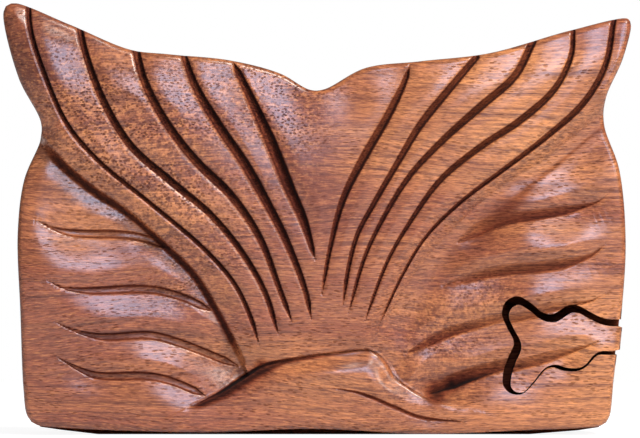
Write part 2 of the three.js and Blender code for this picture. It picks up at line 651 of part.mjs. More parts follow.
/** The felt strip round the cavity's wall. */
function wallLining() {
  const from = FELT_FRONT + FIT_GAP;
  const to = BODY_FRONT - LINING_BELOW_RIM;
  return prism(cavityOutline(FIT_GAP), from, to)
    .subtract(prism(cavityOutline(FIT_GAP + FELT_THICKNESS), 0, THROUGH));
}

// The assembly
const key = new THREE.Group();
key.add(
  part("lock_key", lockKey(), MATERIALS.keyWood),
  part(
    "key_magnet",
    round(keyMagnet, KEY_MAGNET_RADIUS, LID_BACK, LID_BACK + KEY_MAGNET_HEIGHT),
    MATERIALS.nickel,
  ),
);

const lid = new THREE.Group();
lid.add(
  part("carved_lid", carvedLid(), MATERIALS.carvedWood),
  part("pivot_dowel", pivotDowel(), MATERIALS.paleWood),
  part("pivot_washer", pivotWasher(), MATERIALS.steel),
  part("pivot_screw", pivotScrew(), MATERIALS.steel),
  key,
);

const box = new THREE.Group();
box.add(
  part("box_body", boxBody(), MATERIALS.bodyWood),
  part("back_panel", backPanel(), MATERIALS.bodyWood),
  part("pivot_plug", round(pivot, PLUG_RADIUS, 0, PLUG_THICKNESS), MATERIALS.paleWood),
  part(
    "stop_pin",
    round(stopPin, STOP_PIN_RADIUS, BODY_FRONT - STOP_PIN_IN_BODY, LID_BACK + STOP_PIN_IN_LID),
    MATERIALS.steel,
  ),
  part(
    "seat_magnet",
    round(keyMagnet, KEY_MAGNET_RADIUS, BODY_FRONT - KEY_MAGNET_HEIGHT, BODY_FRONT),
    MATERIALS.nickel,
  ),
  part("floor_lining", floorLining(), MATERIALS.felt),
  part("wall_lining", wallLining(), MATERIALS.felt),
  lid,
);

// Stood up on its foot, with the face towards -Y and its depth centred on the origin.
const depth = new THREE.Box3().setFromObject(box).max.z;
box.rotation.x = Math.PI / 2;
box.position.y = depth / 2;

const puzzleBox = new THREE.Group();
puzzleBox.add(box);

export default puzzleBox;
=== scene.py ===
"""The looks of a carved wooden puzzle box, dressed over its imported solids.

The lid, the key, the body and the back are modelled from the same lines and sizes as the solids, with the whole
carving in the lid's mesh. The pivot's parts, the magnets, the stop pin and the felt are modelled round theirs.
Every piece is built lying on its back in millimetres, x to the right, y up the face and z out of the face from the
glued back, and is then stood up in the row frame in metres.
"""

from __future__ import annotations

import logging
import math
from dataclasses import dataclass, field
from enum import Enum

import bmesh
import bpy
import numpy as np
from mathutils import Matrix, Vector


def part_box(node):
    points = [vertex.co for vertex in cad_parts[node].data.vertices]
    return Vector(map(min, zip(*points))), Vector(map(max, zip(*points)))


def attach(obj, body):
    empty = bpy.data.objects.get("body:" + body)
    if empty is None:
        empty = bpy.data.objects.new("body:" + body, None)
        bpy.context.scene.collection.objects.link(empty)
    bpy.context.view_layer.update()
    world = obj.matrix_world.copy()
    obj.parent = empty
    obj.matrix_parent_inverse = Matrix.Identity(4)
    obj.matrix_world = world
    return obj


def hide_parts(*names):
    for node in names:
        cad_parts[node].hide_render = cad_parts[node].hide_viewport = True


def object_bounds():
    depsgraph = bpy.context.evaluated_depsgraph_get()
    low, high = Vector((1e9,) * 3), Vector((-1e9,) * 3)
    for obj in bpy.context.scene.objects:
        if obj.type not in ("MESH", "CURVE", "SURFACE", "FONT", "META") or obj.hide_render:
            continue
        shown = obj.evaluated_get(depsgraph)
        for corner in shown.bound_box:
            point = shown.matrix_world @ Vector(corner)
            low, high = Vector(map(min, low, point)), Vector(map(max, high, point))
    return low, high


LOG = logging.getLogger("puzzle_box")
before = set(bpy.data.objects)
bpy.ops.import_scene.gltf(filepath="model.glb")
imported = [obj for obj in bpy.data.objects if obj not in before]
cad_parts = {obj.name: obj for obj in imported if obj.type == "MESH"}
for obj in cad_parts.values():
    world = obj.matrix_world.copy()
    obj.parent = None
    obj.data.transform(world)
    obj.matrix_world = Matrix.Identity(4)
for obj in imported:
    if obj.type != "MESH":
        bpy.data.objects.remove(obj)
CAD_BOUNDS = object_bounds()
MM = 0.001
IMAGE_WIDTH = 640
OUTLINE_STEPS, ROUGH_STEPS, ROUTE_STEPS, SAW_STEPS = 12, 2, 6, 4

Pair = tuple[float, float]
Line = list[Pair]
Steps = tuple[float, ...]
Table = tuple[Pair, ...]
Colour = tuple[float, float, float, float]


class Body(str, Enum):
    """The bodies that move against each other."""

    BOX = "box"
    LID = "lid"
    KEY = "key"


class Slot(str, Enum):
    """The record's material slots."""

    LID = "lid_wood"
    KEY = "key_wood"
    BODY = "body_wood"
    DOWEL = "dowel_wood"
    STEEL = "steel"
    MAGNET = "magnet"
    FELT = "felt"


# The face's lines, in per cent of its width and height from the lower left
LEFT_SIDE: Line = [
    (4.6, 2.8), (3.8, 4.7), (3.3, 10.4), (2.8, 28.9), (2.4, 46.9), (3.4, 58.9),
    (6.0, 68.4), (6.1, 72.3), (2.6, 82.4), (0.1, 97.2), (0.5, 99.2),
]
LOWER_SIDE: Line = [
    (4.6, 2.8), (5.8, 2.0), (9.1, 1.5), (18.7, 0.8), (33.0, 0.4), (49.7, 1.2),
    (67.2, 0.0), (82.3, 0.8), (91.8, 1.4), (95.0, 1.9), (96.0, 2.7),
]
RIGHT_SIDE: Line = [
    (96.0, 2.7), (96.6, 4.5), (97.2, 12.7), (98.5, 28.9), (99.1, 45.0), (98.1, 61.2),
    (95.7, 71.8), (95.9, 77.8), (98.5, 86.6), (99.9, 94.2), (99.8, 95.6),
]
UPPER_SIDE: Line = [
    (0.5, 99.2), (1.8, 99.9), (10.7, 94.9), (20.3, 89.1), (26.6, 88.0), (36.2, 86.6), (44.1, 83.6),
    (48.9, 79.8), (51.1, 79.9), (57.6, 84.8), (66.4, 86.4), (77.5, 88.3), (90.2, 93.5), (99.3, 96.3),
    (99.8, 95.6),
]
FOOT: Line = [(5.8, 1.7), (9.1, 1.0), (15.0, 0.0), (84.0, 0.0), (91.8, 0.9), (95.0, 1.6)]
LEFT_FLUKE_EDGE: Line = [
    (6.1, 68.4), (9.5, 62.8), (14.2, 57.0), (20.0, 51.3), (25.5, 44.3), (30.6, 37.0), (34.1, 28.9),
    (36.6, 21.9), (38.2, 16.6),
]
RIGHT_FLUKE_EDGE: Line = [
    (60.8, 16.9), (63.2, 25.4), (68.9, 39.3), (77.2, 51.5), (87.8, 62.6), (95.6, 71.8),
]
WAVE_EDGE: Line = [
    (29.0, 5.8), (32.2, 7.9), (34.9, 9.9), (38.4, 13.2), (41.6, 15.9), (47.3, 17.6), (53.7, 18.9),
    (58.7, 19.2), (61.0, 16.6), (62.4, 13.2), (65.1, 10.2), (68.8, 7.9), (74.3, 5.8),
]
LEFT_GROOVES: list[Line] = [
    [(4.1, 99.5), (4.5, 93.5), (6.8, 83.1), (10.4, 71.6), (15.5, 63.0), (23.4, 53.6), (32.2, 42.7),
     (37.0, 34.6), (39.7, 26.1), (40.9, 20.1)],
    [(12.2, 94.5), (13.3, 87.8), (16.0, 77.4), (20.3, 67.0), (26.9, 58.4), (33.0, 51.0), (37.8, 42.7),
     (41.7, 33.0), (44.0, 22.4)],
    [(21.1, 89.6), (22.5, 82.0), (25.8, 72.7), (30.6, 63.5), (36.5, 55.0), (40.9, 45.5), (44.1, 33.5),
     (46.2, 25.4)],
    [(28.7, 88.2), (30.6, 80.8), (34.3, 71.6), (38.6, 62.4), (42.2, 53.1), (44.9, 45.5), (48.1, 33.5),
     (49.2, 26.1)],
]
RIGHT_GROOVES: list[Line] = [
    [(75.3, 87.3), (71.1, 80.1), (66.4, 71.6), (62.6, 62.4), (58.9, 53.1), (56.4, 46.2), (54.8, 37.0),
     (54.1, 29.3)],
    [(84.3, 91.0), (81.5, 83.1), (75.9, 75.8), (70.0, 68.1), (64.8, 60.0), (60.8, 50.8), (57.6, 41.1),
     (54.8, 27.0)],
    [(90.7, 93.5), (90.4, 87.8), (87.8, 80.1), (82.3, 72.7), (75.9, 66.5), (69.6, 58.9), (64.8, 49.2),
     (61.3, 40.4), (57.2, 24.7)],
    [(97.2, 96.1), (95.8, 85.5), (92.3, 76.7), (86.2, 68.6), (79.1, 60.7), (72.7, 53.6), (67.2, 45.5),
     (63.2, 35.8), (59.4, 23.6)],
]
BROAD_GROOVES: list[Line] = [
    [(36.6, 86.4), (39.0, 79.2), (42.5, 68.1), (45.7, 56.6), (47.8, 49.7), (49.8, 40.0)],
    [(64.8, 85.9), (64.0, 82.0), (61.3, 73.9), (57.2, 63.5), (54.1, 54.3), (52.2, 43.9), (50.6, 31.2)],
]
SEA_GROOVES: list[Line] = [
    [(4.7, 50.1), (7.6, 48.0), (10.7, 46.7), (20.3, 46.0), (24.2, 44.6), (26.9, 43.0)],
    [(6.3, 36.5), (9.1, 34.2), (13.1, 33.3), (23.4, 33.5), (28.2, 31.9), (33.5, 28.4)],
    [(7.4, 27.0), (9.9, 24.9), (15.5, 22.6), (23.4, 22.9), (27.4, 21.5), (32.2, 18.9), (37.8, 15.5)],
    [(7.6, 18.7), (12.3, 15.0), (15.0, 13.6), (23.4, 13.4), (27.4, 12.0), (32.4, 8.8)],
    [(96.6, 56.1), (94.7, 54.0), (91.8, 52.7), (85.5, 51.0), (79.9, 49.9), (75.9, 47.6), (71.9, 44.1)],
    [(96.3, 44.8), (93.9, 41.8), (90.2, 40.0), (85.5, 38.8), (79.9, 38.1), (75.1, 36.7), (69.6, 34.2)],
    [(96.3, 33.0), (93.4, 30.9), (89.4, 30.0), (79.9, 27.3), (75.1, 25.4), (70.3, 23.3), (63.5, 18.2)],
    [(95.0, 22.4), (92.6, 21.0), (86.2, 18.5), (79.1, 15.9), (75.1, 14.1), (71.1, 11.8), (67.5, 9.0)],
]
CREASE_LINE: Line = [(51.3, 10.9), (56.8, 9.5), (62.4, 6.2), (66.4, 3.9), (74.3, 2.8)]
# The saw cut round the key, from the mouth's upper lip to its lower lip
SAW_LINE: Line = [
    (101.3, 26.7), (96.2, 26.7), (94.8, 27.3), (93.1, 28.6), (91.5, 29.8), (89.9, 29.8), (88.8, 28.9),
    (87.5, 27.8), (85.9, 28.2), (84.0, 30.4), (81.8, 32.0), (80.0, 30.7), (79.4, 28.0), (80.2, 24.7),
    (81.3, 21.2), (80.4, 17.8), (79.6, 14.1), (79.6, 11.3), (80.7, 9.5), (82.6, 9.3), (84.3, 11.5),
    (86.4, 15.0), (87.5, 15.5), (88.9, 14.8), (91.2, 14.6), (92.7, 15.5), (94.6, 18.3), (96.2, 18.4),
    (101.3, 18.3),
]
# The key's rounded end, from the lower lip to the upper lip
KEY_NOSE: Line = [(96.6, 19.6), (98.3, 20.3), (98.9, 22.4), (98.9, 24.2), (98.0, 25.2), (96.6, 25.4)]
KEY_MOUTH: Pair = (98.0, 22.4)


class SmoothCurve:
    """A smooth flat curve through points: a centripetal Catmull-Rom spline, measured along its length."""

    SAMPLES_PER_SPAN = 40

    def __init__(self, points: np.ndarray) -> None:
        """Samples the curve finely.

        Args:
            points: the points that it passes through, one row each.
        """
        self.spans = len(points) - 1
        ends = (2 * points[0] - points[1], 2 * points[-1] - points[-2])
        chain = np.vstack([ends[0], points, ends[1]])
        pieces = [self._span(chain[i:i + 4]) for i in range(self.spans)]
        self.samples = np.vstack([*pieces, points[-1]])
        steps = np.linalg.norm(np.diff(self.samples, axis=0), axis=1)
        self.lengths = np.concatenate([[0.0], np.cumsum(steps)])

    def _span(self, four: np.ndarray) -> np.ndarray:
        """The samples between the middle two of four points.

        Args:
            four: four points that follow each other.

        Returns:
            The samples, without the last point.
        """
        knots = [0.0]
        for before, after in zip(four, four[1:]):
            knots.append(knots[-1] + math.sqrt(float(np.linalg.norm(after - before))))
        t = np.linspace(knots[1], knots[2], self.SAMPLES_PER_SPAN, endpoint=False)[:, None]

        def mix(a: np.ndarray, b: np.ndarray, start: float, end: float) -> np.ndarray:
            """Blends from a at start to b at end."""
            return ((end - t) * a + (t - start) * b) / (end - start)

        first = [mix(four[i], four[i + 1], knots[i], knots[i + 1]) for i in range(3)]
        second = [mix(first[i], first[i + 1], knots[i], knots[i + 2]) for i in range(2)]
        return mix(second[0], second[1], knots[1], knots[2])

    def at(self, shares: np.ndarray) -> np.ndarray:
        """The points at shares of the way along the curve."""
        along = np.asarray(shares) * self.lengths[-1]
        return np.stack([np.interp(along, self.lengths, self.samples[:, k]) for k in (0, 1)], axis=-1)

    def spaced(self, steps_per_span: int) -> np.ndarray:
        """Points evenly spaced along the curve, with a number of steps for each of its spans."""
        return self.at(np.linspace(0, 1, self.spans * steps_per_span + 1))


class Polyline:
    """A line of straight pieces, to measure distances from."""

    def __init__(self, points: np.ndarray) -> None:
        """Keeps the line's points, one row each."""
        self.points = points

    def measure(self, places: np.ndarray) -> tuple[np.ndarray, np.ndarray]:
        """Finds the nearest point of the line to each place.

        Args:
            places: one row for each place.

        Returns:
            The distances, positive on the line's left-hand side, and the shares of the way along it.
        """
        least = np.full(len(places), np.inf)
        side = np.ones(len(places))
        share = np.zeros(len(places))
        lengths = np.linalg.norm(np.diff(self.points, axis=0), axis=1)
        starts = np.concatenate([[0.0], np.cumsum(lengths)]) / lengths.sum()
        for i, (start, end) in enumerate(zip(self.points, self.points[1:])):
            along = end - start
            offset = places - start
            t = np.clip(offset @ along / (along @ along), 0, 1)
            gap = offset - t[:, None] * along
            distance = np.hypot(gap[:, 0], gap[:, 1])
            nearer = distance < least
            least[nearer] = distance[nearer]
            turn = along[0] * offset[:, 1] - along[1] * offset[:, 0]
            side[nearer] = np.where(turn[nearer] < 0, -1.0, 1.0)
            share[nearer] = (starts[i] + t * (starts[i + 1] - starts[i]))[nearer]
        return side * least, share

    def near(self, places: np.ndarray, reach: float) -> np.ndarray:
        """Which places lie in the line's own box, widened by a reach."""
        low = self.points.min(axis=0) - reach
        high = self.points.max(axis=0) + reach
        return np.all((places > low) & (places < high), axis=1)


def offset_line(points: np.ndarray, distance: float) -> np.ndarray:
    """The same line moved to its left-hand side.

    Args:
        points: the line's points, one row each.
        distance: how far it moves.

    Returns:
        The moved points.
    """
    before = np.vstack([points[0], points[:-1]])
    after = np.vstack([points[1:], points[-1]])
    along = after - before
    along /= np.linalg.norm(along, axis=1)[:, None]
    return points + distance * np.stack([-along[:, 1], along[:, 0]], axis=1)


@dataclass
class FacePlan:
    """The face's size and the lines on it, in millimetres, as in the solids."""

    width: float = 152.0
    height: float = 104.6
    lift: float = 0.3
    border_crowding: float = 0.2
    nose_gap: float = 0.5
    sides: dict[str, SmoothCurve] = field(init=False)

    def __post_init__(self) -> None:
        """Makes the four curved sides."""
        lines = {"left": LEFT_SIDE, "lower": LOWER_SIDE, "right": RIGHT_SIDE, "upper": UPPER_SIDE}
        self.sides = {side: self.curve(line) for side, line in lines.items()}

    def place(self, line: Line) -> np.ndarray:
        """The points of a line given in per cent, in millimetres."""
        percent = np.asarray(line, dtype=float) / 100
        return np.stack(
            [(percent[:, 0] - 0.5) * self.width, self.lift + percent[:, 1] * (self.height - self.lift)], axis=1)

    def point(self, place: Pair) -> np.ndarray:
        """One point given in per cent, in millimetres."""
        return self.place([place])[0]

    def curve(self, line: Line) -> SmoothCurve:
        """The smooth curve through a line given in per cent."""
        return SmoothCurve(self.place(line))

    def lid_outline(self, steps: int = OUTLINE_STEPS) -> np.ndarray:
        """The lid's closed outline, anticlockwise, its first point repeated at its end."""
        lower, right, upper, left = (self.sides[side].spaced(steps) for side in ("lower", "right", "upper", "left"))
        return np.vstack([lower[:-1], right[:-1], upper[::-1][:-1], left[::-1]])

    def body_outline(self) -> np.ndarray:
        """The body's outline: as the lid's, with a flat foot. Its first point isn't repeated."""
        foot = self.place(FOOT)
        foot[:, 1] = np.asarray(FOOT)[:, 1] / 100 * self.height
        right, upper, left = (self.sides[side].spaced(OUTLINE_STEPS) for side in ("right", "upper", "left"))
        return np.vstack([foot, right[1:-1], upper[::-1][:-1], left[::-1][:-1]])

    def patch(self, across: np.ndarray, up: np.ndarray) -> np.ndarray:
        """The points of the face at shares across and up, spread between its four sides.

        Args:
            across: shares from the left side to the right side.
            up: shares from the lower side to the upper side.

        Returns:
            One row of millimetres for each pair of shares.
        """
        across, up = (share - self.border_crowding * np.sin(2 * np.pi * share) / (2 * np.pi)
                      for share in (across, up))
        u, v = across[:, None], up[:, None]
        ends = np.array([0.0, 1.0])
        lower_ends, upper_ends = self.sides["lower"].at(ends), self.sides["upper"].at(ends)
        rise = (1 - v) * self.sides["lower"].at(across) + v * self.sides["upper"].at(across)
        run = (1 - u) * self.sides["left"].at(up) + u * self.sides["right"].at(up)
        low = (1 - u) * lower_ends[0] + u * lower_ends[1]
        high = (1 - u) * upper_ends[0] + u * upper_ends[1]
        return rise + run - (1 - v) * low - v * high

    def saw_line(self) -> np.ndarray:
        """The saw cut round the key, from the mouth's upper lip to its lower lip."""
        return self.curve(SAW_LINE).spaced(SAW_STEPS)

    def key_outline(self, kerf: float) -> np.ndarray:
        """The key's outline before it is moved: the saw cut's inner side and the key's rounded end."""
        inner = offset_line(self.saw_line(), kerf)
        nose = self.curve(KEY_NOSE).spaced(SAW_STEPS)
        return np.vstack([inner[inner[:, 0] < nose[-1, 0] - self.nose_gap], nose])


def soft_step(distance: np.ndarray, width: float) -> np.ndarray:
    """From 0 to 1 across a soft step of a width, at distances from its middle."""
    t = np.clip(distance / width + 0.5, 0, 1)
    return t * t * (3 - 2 * t)


def bell(distance: np.ndarray, width: float | np.ndarray) -> np.ndarray:
    """1 at distance 0, falling away to both sides over a width."""
    return np.exp(-(distance / width) ** 2)


def even_steps(values: Steps, share: np.ndarray, start: float = 0.0) -> np.ndarray:
    """Values given at even steps from a start to 1, read between the steps."""
    return np.interp(share, np.linspace(start, 1, len(values)), values)


def read(table: Table, share: np.ndarray) -> np.ndarray:
    """A table's value at each share, read between its pairs of share and value."""
    return np.interp(share, *zip(*table))


@dataclass(frozen=True)
class Gouge:
    """One of the carver's gouges, in millimetres: half its cut's width, the cut's depth and its form.

    Its lean moves the deepest line towards the right-hand side, below 0, or the left-hand side, above 0, in shares
    of the half width. Its flatness makes the bottom flat. The fades are shares of the groove's length over which
    its ends run out. The shoulders are the soft falls of the wood towards the cut on each hand, and their run is
    the share of the length over which they run out. The tones say how dark the cut is painted at even steps across
    it, from its right-hand rim to its left-hand rim: partly the wood's staining and partly painted shade, darkest on
    the wall turned away from the light. The chamfer is the width of the slanted facet outside the right-hand rim.
    """

    half: float
    depth: float
    lean: float = 0.0
    flatness: float = 0.0
    start_fade: float = 0.0
    end_fade: float = 0.1
    shoulder: float = 0.3
    left_shoulder: float = 2.2
    right_shoulder: float = 2.2
    tones: Steps = (0.7, 1.0, 1.0, 1.0, 0.7)
    chamfer: float = 0.0
    shoulder_run: float = 0.25
    least_fade: float = 0.03
    facet_angle: float = 32.0
    rim: Pair = (0.9, 1.15)
    shoulder_reach: float = 2.6

    def fade(self, share: np.ndarray) -> np.ndarray:
        """The cut's share of its full size, at shares of the way along it."""
        start = np.clip(share / self.start_fade, 0, 1) if self.start_fade else np.ones_like(share)
        end = np.clip((1 - share) / self.end_fade, 0, 1) if self.end_fade else np.ones_like(share)
        return np.maximum(start * end, self.least_fade)

    def shoulder_fade(self, share: np.ndarray) -> np.ndarray:
        """The shoulders' share of their full depth, which runs out softly at the ends of the cut."""
        start = soft_step(share - self.shoulder_run / 2, self.shoulder_run) if self.start_fade else 1.0
        return start * soft_step(1 - self.shoulder_run / 2 - share, self.shoulder_run)

    def wall(self, across: np.ndarray) -> np.ndarray:
        """From 0 at either rim to 1 on the deepest line, at distances in shares of the half width."""
        right_hand = (1 + across) / (1 + self.lean)
        left_hand = (1 - across) / (1 - self.lean)
        return np.clip(np.where(across < self.lean, right_hand, left_hand), 0, 1)

    def profile(self, wall: np.ndarray) -> np.ndarray:
        """The depth's share at a place on the wall."""
        return np.clip(wall / (1 - self.flatness), 0, 1)

    def facet(self, distance: np.ndarray, half: np.ndarray) -> np.ndarray:
        """The depth of the slanted facet at distances from the middle of a cut of a half width."""
        slope = math.tan(math.radians(self.facet_angle))
        inwards = distance + half + self.chamfer
        return slope * np.where(distance < half, np.clip(inwards, 0, self.chamfer), 0)

    def stain_and_shade(self, across: np.ndarray) -> np.ndarray:
        """How dark the cut's staining and painted shade are, from 0 to 1, at distances in shares of the half width."""
        inner, outer = self.rim
        inside = np.clip((outer - np.abs(across)) / (outer - inner), 0, 1)
        return inside * even_steps(self.tones, across, -1)

    def fall(self, distance: np.ndarray) -> np.ndarray:
        """The shoulders' depth at distances from the cut's middle."""
        return self.shoulder * bell(distance, np.where(distance > 0, self.left_shoulder, self.right_shoulder))

    @property
    def reach(self) -> float:
        """How far from its middle the cut changes the face."""
        return max(self.half, self.shoulder_reach * max(self.left_shoulder, self.right_shoulder))


@dataclass(frozen=True)
class Groove:
    """One groove: its line, its gouge, and the cut's sizes and darkness at even steps along it."""

    line: Line
    gouge: Gouge
    sizes: Steps = (1.0, 1.0)
    tones: Steps = (1.0, 1.0)

    def tone(self, share: np.ndarray) -> np.ndarray:
        """How dark the cut is beside its gouge's tones, at shares of the way along it."""
        return even_steps(self.tones, share)

    def size(self, share: np.ndarray) -> np.ndarray:
        """The cut's share of its gouge's size, at shares of the way along it."""
        return even_steps(self.sizes, share) * self.gouge.fade(share)


@dataclass(frozen=True)
class PaintedShadeBand:
    """A band of painted shade by a line, its half widths in millimetres and its strengths by shares of the way along.

    Its middle lies to the line's right-hand side, by a shift and by a share of the half width. A higher power gives
    it a harder edge.
    """

    line: Line
    widths: Table
    strengths: Table
    shift: float = 0.0
    set_off: float = 0.8
    power: int = 2

    def tone(self, distance: np.ndarray, along: np.ndarray) -> np.ndarray:
        """How dark the band is at distances from its line and shares of the way along it."""
        width = read(self.widths, along)
        return read(self.strengths, along) * np.exp(
            -((distance + self.shift + self.set_off * width) / width) ** self.power)


# Painted shade: the shadow that the left fluke's wall casts on the sea, the shade in the valley beside the right fluke,
# and the shade on the wave's left flank
WALL_SHADOW_BAND = PaintedShadeBand(
    LEFT_FLUKE_EDGE, ((0, 1.3), (0.25, 1.1), (0.42, 0.7), (0.6, 0.95), (1, 0.8)),
    ((0, 0), (1 / 12, 0.88), (11 / 12, 0.88), (1, 0)), shift=0.35, set_off=0, power=4)
VALLEY_SHADE_BAND = PaintedShadeBand(
    RIGHT_FLUKE_EDGE, ((0, 3), (0.25, 4), (0.4, 4.5), (0.6, 3.2), (0.75, 0.8), (0.9, 0.45), (1, 0.4)),
    ((0, 0), (0.25, 0.12), (0.4, 0.3), (0.6, 0.42), (0.75, 0.45), (0.9, 0.4), (1, 0.3)))
FLANK_SHADE_BAND = PaintedShadeBand(
    WAVE_EDGE, ((0, 0.5), (0.12, 1.1), (0.28, 1.5), (0.36, 0.45), (1, 0.4)),
    ((0, 0), (0.05, 0.9), (0.28, 0.95), (0.45, 0.7), (0.6, 0.15), (0.72, 0.1), (1, 0)))


@dataclass
class Carving:
    """The carved face's heights over the lid's back, in millimetres."""

    plan: FacePlan
    panel: float = 13.5
    tail_root_rise: float = 1.8
    left_fluke_rise: float = 2.2
    right_fluke_rise: float = 1.8
    roll_depth: float = 1.7
    roll_width: float = 4.0
    fluke_spread: float = 44.0
    root_fall: float = 1.6
    root_fall_width: float = 6.0
    edge_round: float = 1.4
    upper_fall: float = 1.3
    upper_fall_width: float = 6.5
    outer_fall: float = 1.8
    outer_fall_width: float = 3.2
    notch_fall: float = 3.2
    notch_radius: float = 18.0
    even_radius: float = 20.0
    left_step_width: float = 2.0
    right_step_width: float = 11.0
    wave_step_width: float = 1.8
    sunk_depth: float = 4.0
    dip_depth: float = 1.4
    dip_width: float = 3.5
    valley_depth: float = 1.5
    valley_width: float = 6.0
    valley_offset: float = 1.0
    step_shift: float = 3.0
    bowl_depth: float = 4.6
    bowl_radius: float = 12.0
    wave_rise: float = 3.0
    wave_front: float = 3.2
    wave_length: float = 12.0
    wave_reach: float = 19.0
    pit_depth: float = 2.2
    pit_radius: float = 5.5
    left_gouge: Gouge = Gouge(
        0.95, 1.9, lean=0.3, end_fade=0.06, shoulder=0.35, left_shoulder=2, right_shoulder=4, chamfer=0.4,
        tones=(0.4, 0.85, 0.6, 0.6, 0.66, 0.85, 1.0, 0.9))
    right_gouge: Gouge = Gouge(
        0.95, 1.9, lean=0.3, end_fade=0.08, tones=(0.5, 0.8, 0.64, 0.64, 0.7, 0.85, 0.95, 0.6))
    broad_left_gouge: Gouge = Gouge(
        1.4, 2.3, lean=0.3, start_fade=0.05, end_fade=0.06, shoulder=0.45, left_shoulder=2.5, right_shoulder=4,
        chamfer=0.4, tones=(0.4, 0.8, 0.62, 0.62, 0.7, 0.85, 1.0, 0.9))
    broad_right_gouge: Gouge = Gouge(
        1.4, 2.3, lean=0.3, start_fade=0.05, end_fade=0.1, right_shoulder=3,
        tones=(0.45, 0.7, 0.62, 0.64, 0.72, 0.9, 0.95, 0.6))
    left_sea_gouge: Gouge = Gouge(
        1.1, 0.9, flatness=0.6, start_fade=0.3, end_fade=0.08, shoulder=0.8, left_shoulder=3, right_shoulder=4.5,
        tones=(0.4, 0.7, 0.32, 0.2, 0.2, 0.24, 0.36, 0.85, 0.5))
    right_sea_gouge: Gouge = Gouge(
        1.4, 1.1, lean=0.55, start_fade=0.3, end_fade=0.15, shoulder=1.5, left_shoulder=5, right_shoulder=2.6,
        tones=(0.1, 0.3, 0.42, 0.5, 0.56, 0.62, 0.75, 0.85, 0.3))
    wave_gouge: Gouge = Gouge(0.6, 0.8, start_fade=0.15, end_fade=0.15, shoulder=0.2)
    crease_gouge: Gouge = Gouge(0.5, 0.5, start_fade=0.3, end_fade=0.3, shoulder=0.35, tones=(0.5, 0.75, 0.6))
    left_crest: Pair = (19, 76)
    right_crest: Pair = (80, 76)
    wave_crest: Pair = (53, 16)
    outer_place: Pair = (3, 86)
    outer_radius: float = 30.0
    notch: Pair = (47, 88)
    bowl: Pair = (41, 16)
    pits: tuple[Pair, ...] = ((40.5, 14.6), (69.0, 10.0))
    # Painted shade in the hollows beside the ends of the wave
    shaded_hollows: tuple[tuple[Pair, float], ...] = (((41.3, 15.4), 1.9), ((68.9, 9.4), 3.0), ((71.6, 11.6), 2.0))
    hollow_shade: float = 0.9
    worked_tone: float = 0.02
    full_tone_size: float = 0.25
    swellings: tuple[tuple[Pair, float, float], ...] = (
        ((9.5, 35.5), 11, 1.4), ((15, 25), 9, 0.9), ((23.5, 14), 9, 1.0), ((28, 3.5), 7, 0.7),
        ((84, 48.5), 10, 1.6), ((88, 39), 8, 1.1), ((86, 29.5), 8, 1.0), ((80, 4), 14, 0.8), ((94, 19), 6, 0.9),
    )
    leans: tuple[tuple[Pair, float, Pair], ...] = (
        ((46.5, 80.5), 10, (0.01, 0.05)), ((40, 82), 7.5, (0, -0.05)), ((53.5, 79), 7.5, (-0.17, 0.01)),
        ((60, 83), 7.5, (-0.17, 0.03)), ((12.5, 92), 7.5, (0.05, 0.2)), ((26, 84.5), 6.2, (-0.02, 0.08)),
        ((9, 42), 8.7, (-0.12, 0.0)), ((15, 39.5), 8.7, (-0.07, -0.05)), ((23.5, 19.5), 6.2, (-0.06, 0.02)),
        ((82.5, 55), 7.5, (-0.06, -0.1)), ((88, 57.5), 7.5, (-0.1, 0)), ((89, 44), 6.2, (0.1, -0.16)),
        ((85.5, 34.2), 6.2, (-0.11, -0.04)), ((92.5, 23.8), 4.4, (-0.06, -0.09)),
        ((73.9, 33.5), 5.5, (0.07, 0.1)), ((69.2, 20.2), 3.6, (0.06, 0.08)), ((84.5, 14), 6, (0.05, 0.07)),
        ((13, 57), 8, (0.12, 0.17)), ((58.7, 17.9), 4.5, (0.2, 0.24)), ((35.5, 13.5), 4.5, (-0.05, -0.07)),
        ((35.9, 22.5), 4.5, (-0.06, -0.05)), ((22, 68), 13, (0.04, 0.06)), ((3.5, 82), 7, (0.14, 0)),
        ((6.5, 67), 6, (0.12, 0)),
    )

